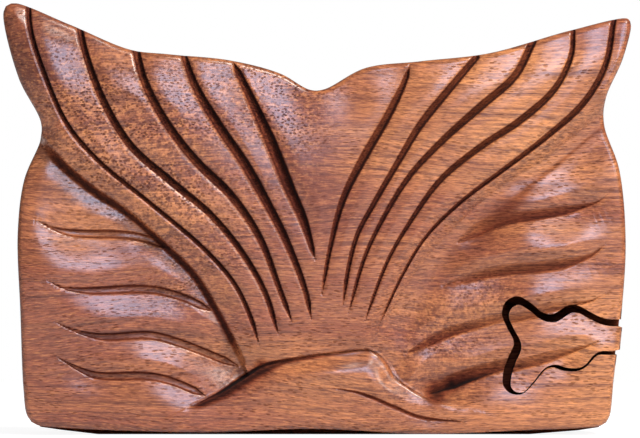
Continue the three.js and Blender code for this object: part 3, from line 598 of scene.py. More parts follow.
    def grooves(self) -> list[Groove]:
        """Every groove of the face."""
        left_sizes = ((0.65, 0.65, 0.6, 0.6, 0.6), (0.8, 1.0, 1.0, 0.8, 0.6), (1.0, 1.1, 1.2, 0.85, 0.55),
                      (0.8, 1.25, 1.3, 0.9, 0.55))
        right_sizes = ((0.9, 1.1, 0.8, 0.6, 0.5), (1.0, 1.1, 0.8, 0.55, 0.4), (0.6, 1.0, 0.85, 0.5, 0.35),
                       (0.7, 0.9, 0.6, 0.4, 0.3))
        broad_sizes = ((0.5, 0.8, 1.05, 1.05, 0.8, 0.3), (0.4, 0.75, 0.8, 0.6, 0.4, 0.3))
        left_sea_sizes, left_sea_tones = (0.5, 0.85, 1.0, 0.95, 0.8), (1.8, 1.1, 1.0, 1.0, 1.2)
        right_sea_sizes = ((0.6, 0.9, 1.1, 1.3, 1.2), (0.7, 1.1, 1.1, 1.0, 0.7), (0.7, 1.0, 0.8, 1.0, 0.9),
                           (0.7, 1.0, 1.0, 1.4, 1.6))
        right_sea_tones = ((0.8, 0.9, 1.0, 0.9, 0.5), (0.7, 0.75, 0.75, 0.7, 0.3), (0.7, 0.5, 0.45, 0.85, 0.7),
                           (0.6, 0.55, 0.7, 1.25, 1.3))
        return [
            *(Groove(line, self.left_gouge, sizes) for line, sizes in zip(LEFT_GROOVES, left_sizes)),
            *(Groove(line, self.right_gouge, sizes) for line, sizes in zip(RIGHT_GROOVES, right_sizes)),
            Groove(BROAD_GROOVES[0], self.broad_left_gouge, broad_sizes[0]),
            Groove(BROAD_GROOVES[1], self.broad_right_gouge, broad_sizes[1]),
            *(Groove(line, self.left_sea_gouge, left_sea_sizes, left_sea_tones) for line in SEA_GROOVES[:4]),
            *(Groove(line, self.right_sea_gouge, sizes, tones)
              for line, sizes, tones in zip(SEA_GROOVES[4:], right_sea_sizes, right_sea_tones)),
            Groove(WAVE_EDGE, self.wave_gouge, (0.6, 0.9, 1.0, 0.8, 0.5, 0.5, 0.4, 0.4, 0.3),
                   (0.5, 1.0, 1.0, 0.8, 0.4, 0.3, 0.3, 0.3, 0.0)),
            Groove(CREASE_LINE, self.crease_gouge),
        ]

    def mound(self, places: np.ndarray, centre: Pair, radius: float) -> np.ndarray:
        """1 at a centre given in per cent, falling away round it."""
        offset = places - self.plan.point(centre)
        return np.exp(-(offset ** 2).sum(axis=1) / radius ** 2)

    def mounds(self, places: np.ndarray, patches: tuple[tuple[Pair, float, float], ...]) -> np.ndarray:
        """The sum of many mounds, each given by its centre, its radius and its height."""
        return sum(height * self.mound(places, centre, radius) for centre, radius, height in patches)

    def route(self, line: Line) -> Polyline:
        """A line of the face, to measure distances from."""
        return Polyline(self.plan.curve(line).spaced(ROUTE_STEPS))

    def distances(self, line: Line, places: np.ndarray) -> np.ndarray:
        """Each place's distance from a line of the face, positive on the line's left-hand side."""
        return self.route(line).measure(places)[0]

    def border(self, places: np.ndarray) -> np.ndarray:
        """Each place's distance from the lid's outline."""
        rough = np.abs(Polyline(self.plan.lid_outline(ROUGH_STEPS)).measure(places)[0])
        close = rough < 3 * self.edge_round
        rough[close] = np.abs(Polyline(self.plan.lid_outline()).measure(places[close])[0])
        return rough

    def lean(self, places: np.ndarray) -> np.ndarray:
        """What the leaning places add: each slopes one way at its middle, and levels out round it."""
        return sum(self.mound(places, centre, radius) * ((places - self.plan.point(centre)) @ np.array(slopes))
                   for centre, radius, slopes in self.leans)

    def hollows(self, places: np.ndarray, left: np.ndarray, right: np.ndarray) -> np.ndarray:
        """How deep the sea is hollowed beside the flukes and at the ends of the wave.

        Args:
            places: one row for each place.
            left: distances from the left fluke's edge.
            right: distances from the right fluke's edge.

        Returns:
            The depths.
        """
        dip = self.dip_depth * bell(left, self.dip_width)
        valley = self.valley_depth * bell(right + self.valley_offset, self.valley_width)
        bowl = self.bowl_depth * self.mound(places, self.bowl, self.bowl_radius)
        pits = sum(self.pit_depth * self.mound(places, pit, self.pit_radius) for pit in self.pits)
        return np.maximum.reduce([dip, valley, bowl, pits])

    def tail(self, places: np.ndarray, left: np.ndarray, right: np.ndarray, wave: np.ndarray) -> np.ndarray:
        """The tail's height over the panel.

        Args:
            places: one row for each place.
            left: distances from the left fluke's edge.
            right: distances from the right fluke's edge.
            wave: distances from the wave's line.

        Returns:
            The heights.
        """
        rise = (self.tail_root_rise
                + self.left_fluke_rise * self.mound(places, self.left_crest, self.fluke_spread)
                + self.right_fluke_rise * self.mound(places, self.right_crest, self.fluke_spread)
                - self.root_fall * bell(wave, self.root_fall_width)
                - self.roll_depth * bell(left, self.roll_width)
                - self.notch_fall * self.mound(places, self.notch, self.notch_radius))
        shown = soft_step(right - self.step_shift, self.right_step_width)
        return -self.sunk_depth + (rise + self.sunk_depth) * shown

    def wave(self, places: np.ndarray, wave: np.ndarray) -> np.ndarray:
        """The wave's height over the panel, at distances from its line."""
        return (self.wave_rise * (1 - bell(wave, self.wave_front)) * bell(wave, self.wave_length)
                * self.mound(places, self.wave_crest, self.wave_reach))

    def face(self, places: np.ndarray) -> np.ndarray:
        """The face's heights before the grooves are cut."""
        left, right, wave, top = (self.distances(line, places)
                                  for line in (LEFT_FLUKE_EDGE, RIGHT_FLUKE_EDGE, WAVE_EDGE, UPPER_SIDE))
        swell = self.mounds(places, self.swellings)
        sea = swell - self.hollows(places, left, right)
        tail = np.maximum(self.tail(places, left, right, wave), sea)
        upper = sea + (tail - sea) * soft_step(left, self.left_step_width)
        level = swell + self.wave(places, wave)
        level += (upper - level) * soft_step(wave, self.wave_step_width)
        border = self.border(places)
        short = np.clip(self.edge_round - border, 0, None)
        rounding = self.edge_round - np.sqrt(self.edge_round ** 2 - short ** 2)
        even = 1 - self.mound(places, self.notch, self.even_radius)
        fall = (self.upper_fall * even * bell(top, self.upper_fall_width)
                + self.outer_fall * bell(border, self.outer_fall_width)
                * self.mound(places, self.outer_place, self.outer_radius))
        return self.panel + level + self.lean(places) - rounding - fall

    def cuts(self, places: np.ndarray) -> tuple[np.ndarray, np.ndarray]:
        """What the gouges take away.

        Args:
            places: one row for each place on the face.

        Returns:
            The depths cut, and how dark the cuts are painted with staining and painted shade, from 0 to 1.
        """
        depth, shoulder, stain_and_shade = np.zeros((3, len(places)))
        for groove in self.grooves():
            gouge = groove.gouge
            route = self.route(groove.line)
            near = route.near(places, gouge.reach)
            distance, along = route.measure(places[near])
            size = groove.size(along)
            half = gouge.half * size
            cut = gouge.depth * np.sqrt(size) * gouge.profile(gouge.wall(distance / half))
            depth[near] = np.maximum(depth[near], np.maximum(cut, gouge.facet(distance, half) * np.sqrt(size)))
            shoulder[near] = np.maximum(shoulder[near], gouge.shoulder_fade(along) * gouge.fall(distance))
            # The cut's darkness: staining with painted shade, darker on the wall turned from the light
            tone = groove.tone(along) * gouge.stain_and_shade(distance / half)
            stain_and_shade[near] = np.maximum(stain_and_shade[near], tone * np.clip(size / self.full_tone_size, 0, 1))
        return depth + shoulder, stain_and_shade

    def stain_and_shade(self, places: np.ndarray) -> np.ndarray:
        """How dark the carved lines and walls are painted, from 0 to 1: the cuts' staining with painted shade, the
        painted shadow below the left fluke's wall, the painted shade in the right fluke's valley and on the wave's
        flank, and painted shade in the hollows.
        """
        bands = [band.tone(*self.route(band.line).measure(places)) for band in (WALL_SHADOW_BAND, VALLEY_SHADE_BAND, FLANK_SHADE_BAND)]
        hollows = sum(self.hollow_shade * self.mound(places, place, radius) for place, radius in self.shaded_hollows)
        return np.clip(np.maximum.reduce([*bands, hollows, self.cuts(places)[1]]), 0, 1)

    def worked(self, places: np.ndarray) -> np.ndarray:
        """Which places the gouges have cut, where the mesh stays fine."""
        return self.cuts(places)[1] > self.worked_tone

    def height(self, places: np.ndarray) -> np.ndarray:
        """The finished face's heights over the lid's back."""
        return self.face(places) - self.cuts(places)[0]


# Meshes


@dataclass
class Stack:
    """The heights of the layers over the glued back, in millimetres, as in the solids."""

    back: float = 6.0
    body: float = 23.7
    lid_gap: float = 0.3
    spare: float = 1.0
    through: float = 60.0

    @property
    def body_front(self) -> float:
        """The height of the body's face."""
        return self.back + self.body

    @property
    def lid_back(self) -> float:
        """The height of the lid's back."""
        return self.body_front + self.lid_gap


def standing() -> Matrix:
    """Stands a piece up: from millimetres on its back to metres in the row frame."""
    back_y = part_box("back_panel")[1].y
    return Matrix.Translation((0, back_y, 0)) @ Matrix.Rotation(math.pi / 2, 4, "X") @ Matrix.Scale(MM, 4)


def linked(name: str, data: bpy.types.ID) -> bpy.types.Object:
    """A new object in the scene, at the origin."""
    made = bpy.data.objects.new(name, data)
    bpy.context.collection.objects.link(made)
    return made


def mesh_object(bm: bmesh.types.BMesh, name: str) -> bpy.types.Object:
    """Makes a smooth-shaded object of a bmesh.

    Args:
        bm: the mesh, lying on its back in millimetres. It is freed.
        name: the object's name.

    Returns:
        The object, at the origin.
    """
    bmesh.ops.recalc_face_normals(bm, faces=bm.faces)
    mesh = bpy.data.meshes.new(name)
    bm.to_mesh(mesh)
    bm.free()
    mesh.shade_smooth()
    return linked(name, mesh)


def vertex_places(obj: bpy.types.Object) -> np.ndarray:
    """Each vertex's place, one row each."""
    flat = np.empty(len(obj.data.vertices) * 3)
    obj.data.vertices.foreach_get("co", flat)
    return flat.reshape(-1, 3)


def bake(obj: bpy.types.Object) -> None:
    """Applies an object's modifiers to its mesh."""
    bpy.context.view_layer.update()
    evaluated = obj.evaluated_get(bpy.context.evaluated_depsgraph_get())
    finished = bpy.data.meshes.new_from_object(evaluated)
    finished.name = obj.data.name
    obj.modifiers.clear()
    obj.data = finished


def combine(obj: bpy.types.Object, tool: bpy.types.Object, operation: str) -> None:
    """Cuts an object with a tool, which is then thrown away.

    Args:
        obj: the object to cut, both still lying on their backs.
        tool: the cutting solid.
        operation: DIFFERENCE or INTERSECT.
    """
    cut = obj.modifiers.new("cut", "BOOLEAN")
    cut.object = tool
    cut.operation = operation
    cut.solver = "MANIFOLD"
    bake(obj)
    bpy.data.objects.remove(tool)


def raised_outline(points: np.ndarray, low: float,
                   high: float) -> tuple[bmesh.types.BMesh, list[bmesh.types.BMFace]]:
    """A straight prism of a closed outline, still to be worked on.

    Args:
        points: the outline, one row each, its first point not repeated.
        low: the height of its back.
        high: the height of its front.

    Returns:
        The mesh, lying on its back in millimetres, and a list of its one back face.
    """
    bm = bmesh.new()
    ring = bmesh.ops.create_circle(bm, cap_ends=True, segments=len(points), radius=1)["verts"]
    for vert, (x, y) in zip(ring, points):
        vert.co = (x, y, low)
    back = list(bm.faces)
    raised = bmesh.ops.extrude_face_region(bm, geom=back, use_keep_orig=True)["geom"]
    for vert in (item for item in raised if isinstance(item, bmesh.types.BMVert)):
        vert.co.z = high
    return bm, back


def outline_prism(points: np.ndarray, low: float, high: float, name: str = "tool") -> bpy.types.Object:
    """A straight prism of a closed outline, as an object."""
    return mesh_object(raised_outline(points, low, high)[0], name)


def turned(profile: Line, centre: np.ndarray, name: str, segments: int = 64) -> bpy.types.Object:
    """A solid turned from a profile that starts and ends on its upright axis.

    Args:
        profile: radius and height pairs.
        centre: the axis's place on the face.
        name: the object's name.
        segments: how many steps make the full turn.

    Returns:
        The solid, lying on its back in millimetres.
    """
    bm = bmesh.new()
    verts = [bm.verts.new((radius, 0, height)) for radius, height in profile]
    edges = [bm.edges.new(pair) for pair in zip(verts, verts[1:])]
    bmesh.ops.spin(bm, geom=verts + edges, cent=(0, 0, 0), axis=(0, 0, 1), dvec=(0, 0, 0),
                   angle=2 * math.pi, steps=segments, use_merge=True)
    bmesh.ops.remove_doubles(bm, verts=bm.verts, dist=1e-4)
    bmesh.ops.translate(bm, vec=(float(centre[0]), float(centre[1]), 0), verts=bm.verts)
    return mesh_object(bm, name)


def drill(centre: np.ndarray, radius: float, low: float, high: float) -> bpy.types.Object:
    """The tool for a round hole between two heights."""
    return turned([(0, low), (radius, low), (radius, high), (0, high)], centre, "bore")


def softened(profile: Line, cut: float) -> Line:
    """A turned profile with a small flat cut across each of its corners off the axis.

    Args:
        profile: radius and height pairs.
        cut: how far from each corner the flat starts.

    Returns:
        The profile with two points for each such corner.
    """
    made: Line = [profile[0]]
    for before, corner, after in zip(profile, profile[1:], profile[2:]):
        for other in (before, after):
            away = Vector(other) - Vector(corner)
            step = Vector(corner) + away.normalized() * min(cut, away.length / 2)
            made.append((step.x, step.y))
    made.append(profile[-1])
    return made


def stand_up(obj: bpy.types.Object, sharp_degrees: float) -> None:
    """Stands a finished piece up in the row frame, and keeps its real corners crisp.

    Args:
        obj: the piece, lying on its back in millimetres.
        sharp_degrees: edges that turn more than this stay crisp.
    """
    obj.data.transform(standing())
    # The smoothing's last hundredths of a millimetre stay inside the CAD model's box
    places = np.clip(vertex_places(obj), list(CAD_BOUNDS[0]), list(CAD_BOUNDS[1]))
    obj.data.vertices.foreach_set("co", places.ravel())
    obj.data.shade_smooth()
    obj.data.set_sharp_from_angle(angle=math.radians(sharp_degrees))
    obj.data.update()


def face_places(obj: bpy.types.Object) -> np.ndarray:
    """Each vertex's place on the face, in millimetres, of a piece that has been stood up."""
    return vertex_places(obj)[:, [0, 2]] / MM


def write_mask(obj: bpy.types.Object, name: str, values: np.ndarray) -> None:
    """Keeps one value for each vertex under a name, for the finish to read."""
    mask = obj.data.attributes.new(name, "FLOAT", "POINT")
    mask.data.foreach_set("value", np.ascontiguousarray(values, dtype=np.float32))


# Finishes


class NodeSketch:
    """A short way to write a node tree."""

    def __init__(self, tree: bpy.types.NodeTree) -> None:
        """Keeps the tree, and empties it."""
        self.tree = tree
        self.tree.nodes.clear()

    def add(self, kind: str, inputs: dict | None = None, **options: object) -> bpy.types.Node:
        """Adds a node.

        Args:
            kind: the node's type.
            inputs: values or sockets for its inputs, by name or number.
            options: its other settings.

        Returns:
            The node.
        """
        node = self.tree.nodes.new(kind)
        for name, value in options.items():
            setattr(node, name, value)
        self.feed(node, inputs or {})
        return node

    def feed(self, node: bpy.types.Node, inputs: dict) -> None:
        """Gives a node's inputs, by name or number, their values or sockets."""
        for name, value in inputs.items():
            if isinstance(value, bpy.types.NodeSocket):
                self.tree.links.new(value, node.inputs[name])
            else:
                node.inputs[name].default_value = value

    def math(self, operation: str, *values: object) -> bpy.types.NodeSocket:
        """The result of a Math node on values or sockets."""
        return self.add("ShaderNodeMath", dict(enumerate(values)), operation=operation).outputs[0]

    def vector(self, operation: str, *values: object) -> bpy.types.NodeSocket:
        """The result of a Vector Math node on vectors or sockets."""
        return self.add("ShaderNodeVectorMath", dict(enumerate(values)), operation=operation).outputs[0]

    def mix(self, share: object, first: object, second: object) -> bpy.types.NodeSocket:
        """A colour between two."""
        made = self.add("ShaderNodeMix", {0: share, 6: first, 7: second}, data_type="RGBA")
        return made.outputs[2]

    def span(self, value: object, low: float, high: float, to_low: float = 0.0,
             to_high: float = 1.0) -> bpy.types.NodeSocket:
        """A value moved from one range to another, and held inside it."""
        inputs = {0: value, 1: low, 2: high, 3: to_low, 4: to_high}
        return self.add("ShaderNodeMapRange", inputs, clamp=True).outputs[0]

    def along(self, axis: str, vector: object) -> bpy.types.NodeSocket:
        """One of a vector's three parts: X, Y or Z."""
        return self.add("ShaderNodeSeparateXYZ", {"Vector": vector}).outputs[axis]

    def stretched(self, vector: object, scale: tuple[float, float, float],
                  turn: tuple[float, float, float] = (0, 0, 0)) -> bpy.types.NodeSocket:
        """Coordinates turned and scaled by a Mapping node."""
        return self.add("ShaderNodeMapping", {"Vector": vector, "Rotation": turn, "Scale": scale}).outputs[0]

    def noise(self, vector: object, scale: tuple[float, float, float], detail: float = 2.0,
              roughness: float = 0.5) -> bpy.types.NodeSocket:
        """Plain noise over scaled coordinates, about one cell to a unit."""
        inputs = {"Vector": self.stretched(vector, scale), "Scale": 1.0, "Detail": detail, "Roughness": roughness}
        return self.add("ShaderNodeTexNoise", inputs).outputs[0]

    def bump(self, height: object, depth: float, strength: float) -> bpy.types.NodeSocket:
        """The normal of a surface with a relief of a depth in millimetres."""
        inputs = {"Height": height, "Distance": depth * MM, "Strength": strength}
        return self.add("ShaderNodeBump", inputs).outputs[0]


def new_group(name: str, inputs: dict[str, object], outputs: dict[str, str]) -> NodeSketch:
    """Starts a shader node group.

    Args:
        name: the group's name.
        inputs: each input's name with its default: a number, a colour or None for a vector.
        outputs: each output's name with its kind of socket.

    Returns:
        A sketch of the group, with a start and an end node named so.
    """
    tree = bpy.data.node_groups.new(name, "ShaderNodeTree")
    for label, value in inputs.items():
        kind = ("NodeSocketVector" if value is None
                else "NodeSocketColor" if isinstance(value, tuple) else "NodeSocketFloat")
        made = tree.interface.new_socket(name=label, in_out="INPUT", socket_type=kind)
        if value is not None:
            made.default_value = value
    for label, kind in outputs.items():
        tree.interface.new_socket(name=label, in_out="OUTPUT", socket_type=kind)
    sketch = NodeSketch(tree)
    sketch.add("NodeGroupInput", name="start")
    sketch.add("NodeGroupOutput", name="end")
    return sketch


def shade(red: int, green: int, blue: int) -> Colour:
    """A colour written as a screen shows it, from 0 to 255, made linear."""
    def linear(value: float) -> float:
        """One channel, from 0 to 1."""
        return value / 12.92 if value <= 0.04045 else ((value + 0.055) / 1.055) ** 2.4

    return (linear(red / 255), linear(green / 255), linear(blue / 255), 1.0)


def hardwood_group() -> bpy.types.NodeTree:
    """The open-pored hardwood that every lacquered piece shares.

    Returns:
        A group from places in millimetres to colour, roughness, height and the open pores.
    """
    sketch = new_group(
        "open_pored_hardwood",
        {"Place": None, "Red Brown": shade(156, 80, 44), "Golden": shade(216, 136, 70),
         "Dark Line": shade(88, 38, 25), "Pore": shade(66, 26, 17), "Gold Share": 0.0, "Mottle": 0.0},
        {"Color": "NodeSocketColor", "Roughness": "NodeSocketFloat", "Height": "NodeSocketFloat",
         "Open Pores": "NodeSocketFloat"})
    start, end = sketch.tree.nodes["start"], sketch.tree.nodes["end"]
    place, red_brown, golden, dark_line, pore_colour, gold_share, across = list(start.outputs)[:7]
    # The grain's slow waves
    drift = sketch.math("SUBTRACT", sketch.noise(place, (0.012, 0.03, 0.04), detail=1.0), 0.5)
    lift = sketch.add("ShaderNodeCombineXYZ", {"Z": sketch.math("MULTIPLY", drift, 16.0)})
    grain = sketch.vector("ADD", place, lift.outputs[0])
    # Broad bands of red and gold
    band = sketch.noise(grain, (0.014, 0.07, 0.11), detail=3.0, roughness=0.55)
    gold = sketch.math("ADD", sketch.span(band, 0.4, 0.72, 0.0, 0.62), gold_share)
    colour = sketch.mix(sketch.span(gold, 0.0, 1.0), red_brown, golden)
    colour = sketch.mix(sketch.span(gold_share, -1.0, 0.0, 1.0, 0.0), colour, dark_line)
    # Darker growth lines
    growth = sketch.noise(grain, (0.015, 0.5, 1.0), detail=5.0, roughness=0.72)
    colour = sketch.mix(sketch.span(growth, 0.44, 0.68, 0.0, 0.9), colour, dark_line)
    # Fine fibres
    fibre = sketch.noise(grain, (0.3, 1.6, 3.6), detail=3.0, roughness=0.75)
    colour = sketch.mix(sketch.span(fibre, 0.44, 0.66, 0.0, 0.7), colour, dark_line)
    colour = sketch.mix(sketch.span(fibre, 0.46, 0.3, 0.0, 0.5), colour, golden)
    # Flecks where the face cuts across the grain
    mottle = sketch.noise(grain, (0.7, 1.2, 1.0), detail=2.0, roughness=0.7)
    for first, last, most, fleck in ((0.5, 0.62, 0.64, dark_line), (0.46, 0.36, 0.5, golden)):
        share = sketch.math("MULTIPLY", sketch.span(mottle, first, last, 0.0, most), across)
        colour = sketch.mix(share, colour, fleck)
    # Pores, long where the face runs with the grain and short where it cuts across it
    masks = []
    for scale, threshold in (((0.5, 0.5, 2.0), 0.34), ((1.1, 0.5, 1.45), 0.42)):
        cells = sketch.add("ShaderNodeTexVoronoi", {
            "Vector": sketch.stretched(grain, scale, (0, math.radians(3), 0)), "Scale": 1.0, "Randomness": 1.0})
        masks.append(sketch.span(cells.outputs["Distance"], threshold - 0.1, threshold + 0.02, 1.0, 0.0))
    long_pores = sketch.math("MULTIPLY", masks[0], sketch.math("SUBTRACT", 1.0, across))
    pore = sketch.math("ADD", long_pores, sketch.math("MULTIPLY", masks[1], across))
    crowd = sketch.span(sketch.noise(grain, (0.05, 0.2, 0.16), detail=1.0), 0.32, 0.6, 0.35, 1.0)
    pore = sketch.math("MULTIPLY", pore, crowd)
    seen = sketch.math("MULTIPLY", pore, sketch.span(across, 0.0, 1.0, 0.5, 0.85))
    colour = sketch.mix(seen, colour, pore_colour)
    rough = sketch.math("ADD", sketch.span(fibre, 0.3, 0.8, 0.0, 0.06), sketch.math("MULTIPLY", pore, 0.25))
    height = sketch.math("SUBTRACT", sketch.math("MULTIPLY", fibre, 0.12), pore)
    sketch.feed(end, {"Color": colour, "Roughness": rough, "Height": height, "Open Pores": pore})
    return sketch.tree


@dataclass(frozen=True)
class Finish:
    """A finish of the box's pieces, whose pattern reads places on them in millimetres."""

    name: str

    def surface(self, sketch: NodeSketch, place: bpy.types.NodeSocket) -> dict[str, object]:
        """What the finish gives the Principled BSDF.

        Args:
            sketch: the material's node tree.
            place: the places in millimetres.

        Returns:
            Values or sockets for the shader's inputs, by name.
        """
        raise NotImplementedError

    def build(self) -> bpy.types.Material:
        """Makes the material."""
        material = bpy.data.materials.new(self.name)
        material.use_nodes = True
        sketch = NodeSketch(material.node_tree)
        place = sketch.stretched(sketch.add("ShaderNodeTexCoord").outputs["Object"], (1 / MM, 1 / MM, 1 / MM))
        shader = sketch.add("ShaderNodeBsdfPrincipled", self.surface(sketch, place))
        sketch.add("ShaderNodeOutputMaterial", {"Surface": shader.outputs[0]})
        return material


@dataclass(frozen=True)
class LacqueredWood(Finish):
    """Reddish-brown hardwood under satin lacquer.

    A carved piece also reads its masks. They fade between two distances in front of the lid's back. A bare front is
    the depth of a face that was never lacquered, and it fades out between two distances behind that face; there
    the wood is painted darker, painted shade for the face that lies deep behind the saw cut. The tints are shares
    of red, green and blue. The saw's walls get painted shade where the part of their normal that points out of
    the face is below the first turn, and none above the second.
    """

    wood: bpy.types.NodeTree
    red_brown: Colour
    golden: Colour
    carved: bool = False
    bare_shaded_front: float | None = None
    roughness: float = 0.4
    coat: float = 0.9
    # The stain tint and the deepest colour paint the grooves' staining with painted shade, and painted shade on the
    # saw's walls; the bare tint paints shade on the bare front
    mask_fade: Pair = (6.5, 4.0)
    stain_and_shade_tint: tuple[float, float, float] = (0.4, 0.25, 0.25)
    bare_shade_tint: tuple[float, float, float] = (0.78, 0.54, 0.5)
    deepest: Colour = shade(22, 8, 6)
    pore_coat: float = 0.1
    kerf_shade_turn: Pair = (0.3, 0.6)
    stain_and_shade_roughness: float = 0.55
    bare_roughness: float = 0.5
    bare_fade: Pair = (0.1, 0.2)

    def surface(self, sketch: NodeSketch, place: bpy.types.NodeSocket) -> dict[str, object]:
        """The wood's colour, lacquer and pores, with the carving's staining and painted shade, or the bare front's
        painted shade.
        """
        group = sketch.add("ShaderNodeGroup", {"Place": place, "Red Brown": self.red_brown, "Golden": self.golden},
                           node_tree=self.wood)
        colour = group.outputs["Color"]
        roughness = sketch.math("ADD", group.outputs["Roughness"], self.roughness)
        coat = sketch.math("MULTIPLY", sketch.span(group.outputs["Open Pores"], 0.0, 0.8, 1.0, self.pore_coat),
                           self.coat)
        depth = sketch.along("Y", place)
        if self.carved:
            masks = {name: sketch.add("ShaderNodeAttribute", attribute_name=name).outputs["Fac"]
                     for name in ("groove", "sawn", "mottle", "gold")}
            # What belongs to the face fades before the lid's back
            lid_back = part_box("carved_lid")[1].y / MM
            first, last = self.mask_fade
            near_face = sketch.span(depth, lid_back - first, lid_back - last, 1.0, 0.0)
            for name in ("groove", "mottle", "gold"):
                masks[name] = sketch.math("MULTIPLY", masks[name], near_face)
            sketch.feed(group, {"Mottle": sketch.span(masks["mottle"], 0.0, 1.0), "Gold Share": masks["gold"]})
            # The saw's walls get painted shade
            facing = sketch.math("ABSOLUTE", sketch.along("Y", sketch.add("ShaderNodeTexCoord").outputs["Normal"]))
            kerf_shade = sketch.math("MULTIPLY", sketch.span(facing, *self.kerf_shade_turn, 1.0, 0.0), masks["sawn"])
            stain_and_shade = sketch.math("MAXIMUM", masks["groove"], kerf_shade)
            # Painted shade with staining: the grooves and the saw's walls darken towards the deepest colour
            darkened = sketch.vector("MULTIPLY", colour, self.stain_and_shade_tint)
            colour = sketch.mix(sketch.span(stain_and_shade, 0.05, 0.65), colour, darkened)
            colour = sketch.mix(sketch.span(stain_and_shade, 0.62, 1.0), colour, self.deepest)
            roughness = sketch.math("ADD", roughness, sketch.span(stain_and_shade, 0.1, 0.8, 0.0, self.stain_and_shade_roughness))
            coat = sketch.math("MULTIPLY", coat, sketch.span(stain_and_shade, 0.08, 0.4, 1.0, 0.0))
        if self.bare_shaded_front is not None:
            # The bare front is painted darker as shade, and loses its lacquer
            bare = sketch.span(depth, *(self.bare_shaded_front + step for step in self.bare_fade), 1.0, 0.0)
            colour = sketch.mix(bare, colour, sketch.vector("MULTIPLY", colour, self.bare_shade_tint))
            coat = sketch.math("MULTIPLY", coat, sketch.math("SUBTRACT", 1.0, bare))
            roughness = sketch.math("ADD", roughness, sketch.math("MULTIPLY", bare, self.bare_roughness))
        return {"Base Color": colour, "Roughness": roughness, "Normal": sketch.bump(group.outputs["Height"], 0.12, 0.6),
                "Coat Weight": coat, "Coat Roughness": 0.25, "Coat IOR": 1.6, "IOR": 1.5, "Specular IOR Level": 0.2}


@dataclass(frozen=True)
class BareWood(Finish):
    """Pale unfinished hardwood, its growth rings on the ends."""

    light: Colour
    dark: Colour

    def surface(self, sketch: NodeSketch, place: bpy.types.NodeSocket) -> dict[str, object]:
        """Growth rings and short flecks."""
        rings = sketch.add("ShaderNodeTexWave", {
            "Vector": sketch.stretched(place, (0.5, 0.06, 0.5), (0, math.radians(24), 0)), "Scale": 0.55,
            "Distortion": 3.0, "Detail": 3.0, "Detail Scale": 1.2}, wave_type="BANDS", bands_direction="X").outputs[0]
        fleck = sketch.noise(place, (4.0, 0.5, 4.0), detail=3.0, roughness=0.7)
        colour = sketch.mix(sketch.span(rings, 0.2, 0.9, 0.0, 0.55), self.light, self.dark)
        colour = sketch.mix(sketch.span(fleck, 0.45, 0.75, 0.0, 0.5), colour, self.dark)
        return {"Base Color": colour, "Roughness": sketch.span(fleck, 0.3, 0.8, 0.55, 0.75),
                "Normal": sketch.bump(fleck, 0.1, 0.5)}


@dataclass(frozen=True)
class TurnedMetal(Finish):
    """Metal with fine tool marks and a little dulling."""

    colour: Colour
    dull: Colour
    roughness: float

    def surface(self, sketch: NodeSketch, place: bpy.types.NodeSocket) -> dict[str, object]:
        """Clouds of dulling and the tool's fine marks."""
        cloud = sketch.noise(place, (0.7, 0.7, 0.7), detail=4.0, roughness=0.65)
        marks = sketch.noise(place, (1.0, 14.0, 1.0), detail=1.0)
        colour = sketch.mix(sketch.span(cloud, 0.4, 0.75, 0.0, 0.6), self.colour, self.dull)
        rough = sketch.math("ADD", sketch.span(cloud, 0.3, 0.8, 0.0, 0.15), self.roughness)
        return {"Base Color": colour, "Metallic": 1.0, "Roughness": rough, "Normal": sketch.bump(marks, 0.03, 0.4)}


@dataclass(frozen=True)
class Felt(Finish):
    """Short wool felt."""

    dark: Colour
    light: Colour

    def surface(self, sketch: NodeSketch, place: bpy.types.NodeSocket) -> dict[str, object]:
        """The wool's fuzz, in lighter and darker patches."""
        fuzz = sketch.noise(place, (2.4, 2.4, 2.4), detail=5.0, roughness=0.8)
        patch = sketch.noise(place, (0.09, 0.09, 0.09), detail=2.0)
        colour = sketch.mix(sketch.span(fuzz, 0.35, 0.75), self.dark, self.light)
        colour = sketch.mix(sketch.span(patch, 0.35, 0.7, 0.0, 0.3), colour, self.light)
        return {"Base Color": colour, "Roughness": sketch.span(fuzz, 0.3, 0.8, 0.85, 1.0), "Sheen Weight": 0.35,
                "Sheen Roughness": 0.5, "Normal": sketch.bump(fuzz, 0.25, 0.9)}


class Finishes:
    """Every finish of the box, made once."""

    def __init__(self) -> None:
        """Builds the materials."""
        wood = hardwood_group()
        lid_tones = (shade(160, 86, 56), shade(226, 146, 86))
        body_tones = (shade(140, 78, 52), shade(190, 128, 80))
        finishes = {
            Slot.LID: LacqueredWood("lid_wood", wood, *lid_tones, carved=True),
            Slot.KEY: LacqueredWood("key_wood", wood, *lid_tones, carved=True),
            # The body's bare front is painted darker as shade where it lies behind the saw cut
            Slot.BODY: LacqueredWood("body_wood", wood, *body_tones, bare_shaded_front=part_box("box_body")[0].y / MM),
            Slot.DOWEL: BareWood("pale_wood", shade(214, 172, 122), shade(166, 116, 72)),
            Slot.STEEL: TurnedMetal("steel", shade(190, 192, 196), shade(120, 122, 126), 0.28),
            Slot.MAGNET: TurnedMetal("nickel", shade(206, 204, 198), shade(160, 158, 152), 0.16),
            Slot.FELT: Felt("felt", shade(20, 17, 19), shade(52, 46, 50)),
        }
        self.made: dict[Slot, bpy.types.Material] = {slot: finish.build() for slot, finish in finishes.items()}

    def dress(self, obj: bpy.types.Object, body: Body, slot: Slot, *nodes: str) -> None:
        """Gives a piece its finish, its body and the solids it stands for.

        Args:
            obj: the finished piece.
            body: the body that it moves with.
            slot: the record's material slot.
            nodes: the solids that it replaces.
        """
        obj.data.materials.clear()
        obj.data.materials.append(self.made[slot])
        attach(obj, body.value)
        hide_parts(*nodes)
        LOG.info("%s rides on %s, with %d faces", obj.name, body.value, len(obj.data.polygons))


# The pieces


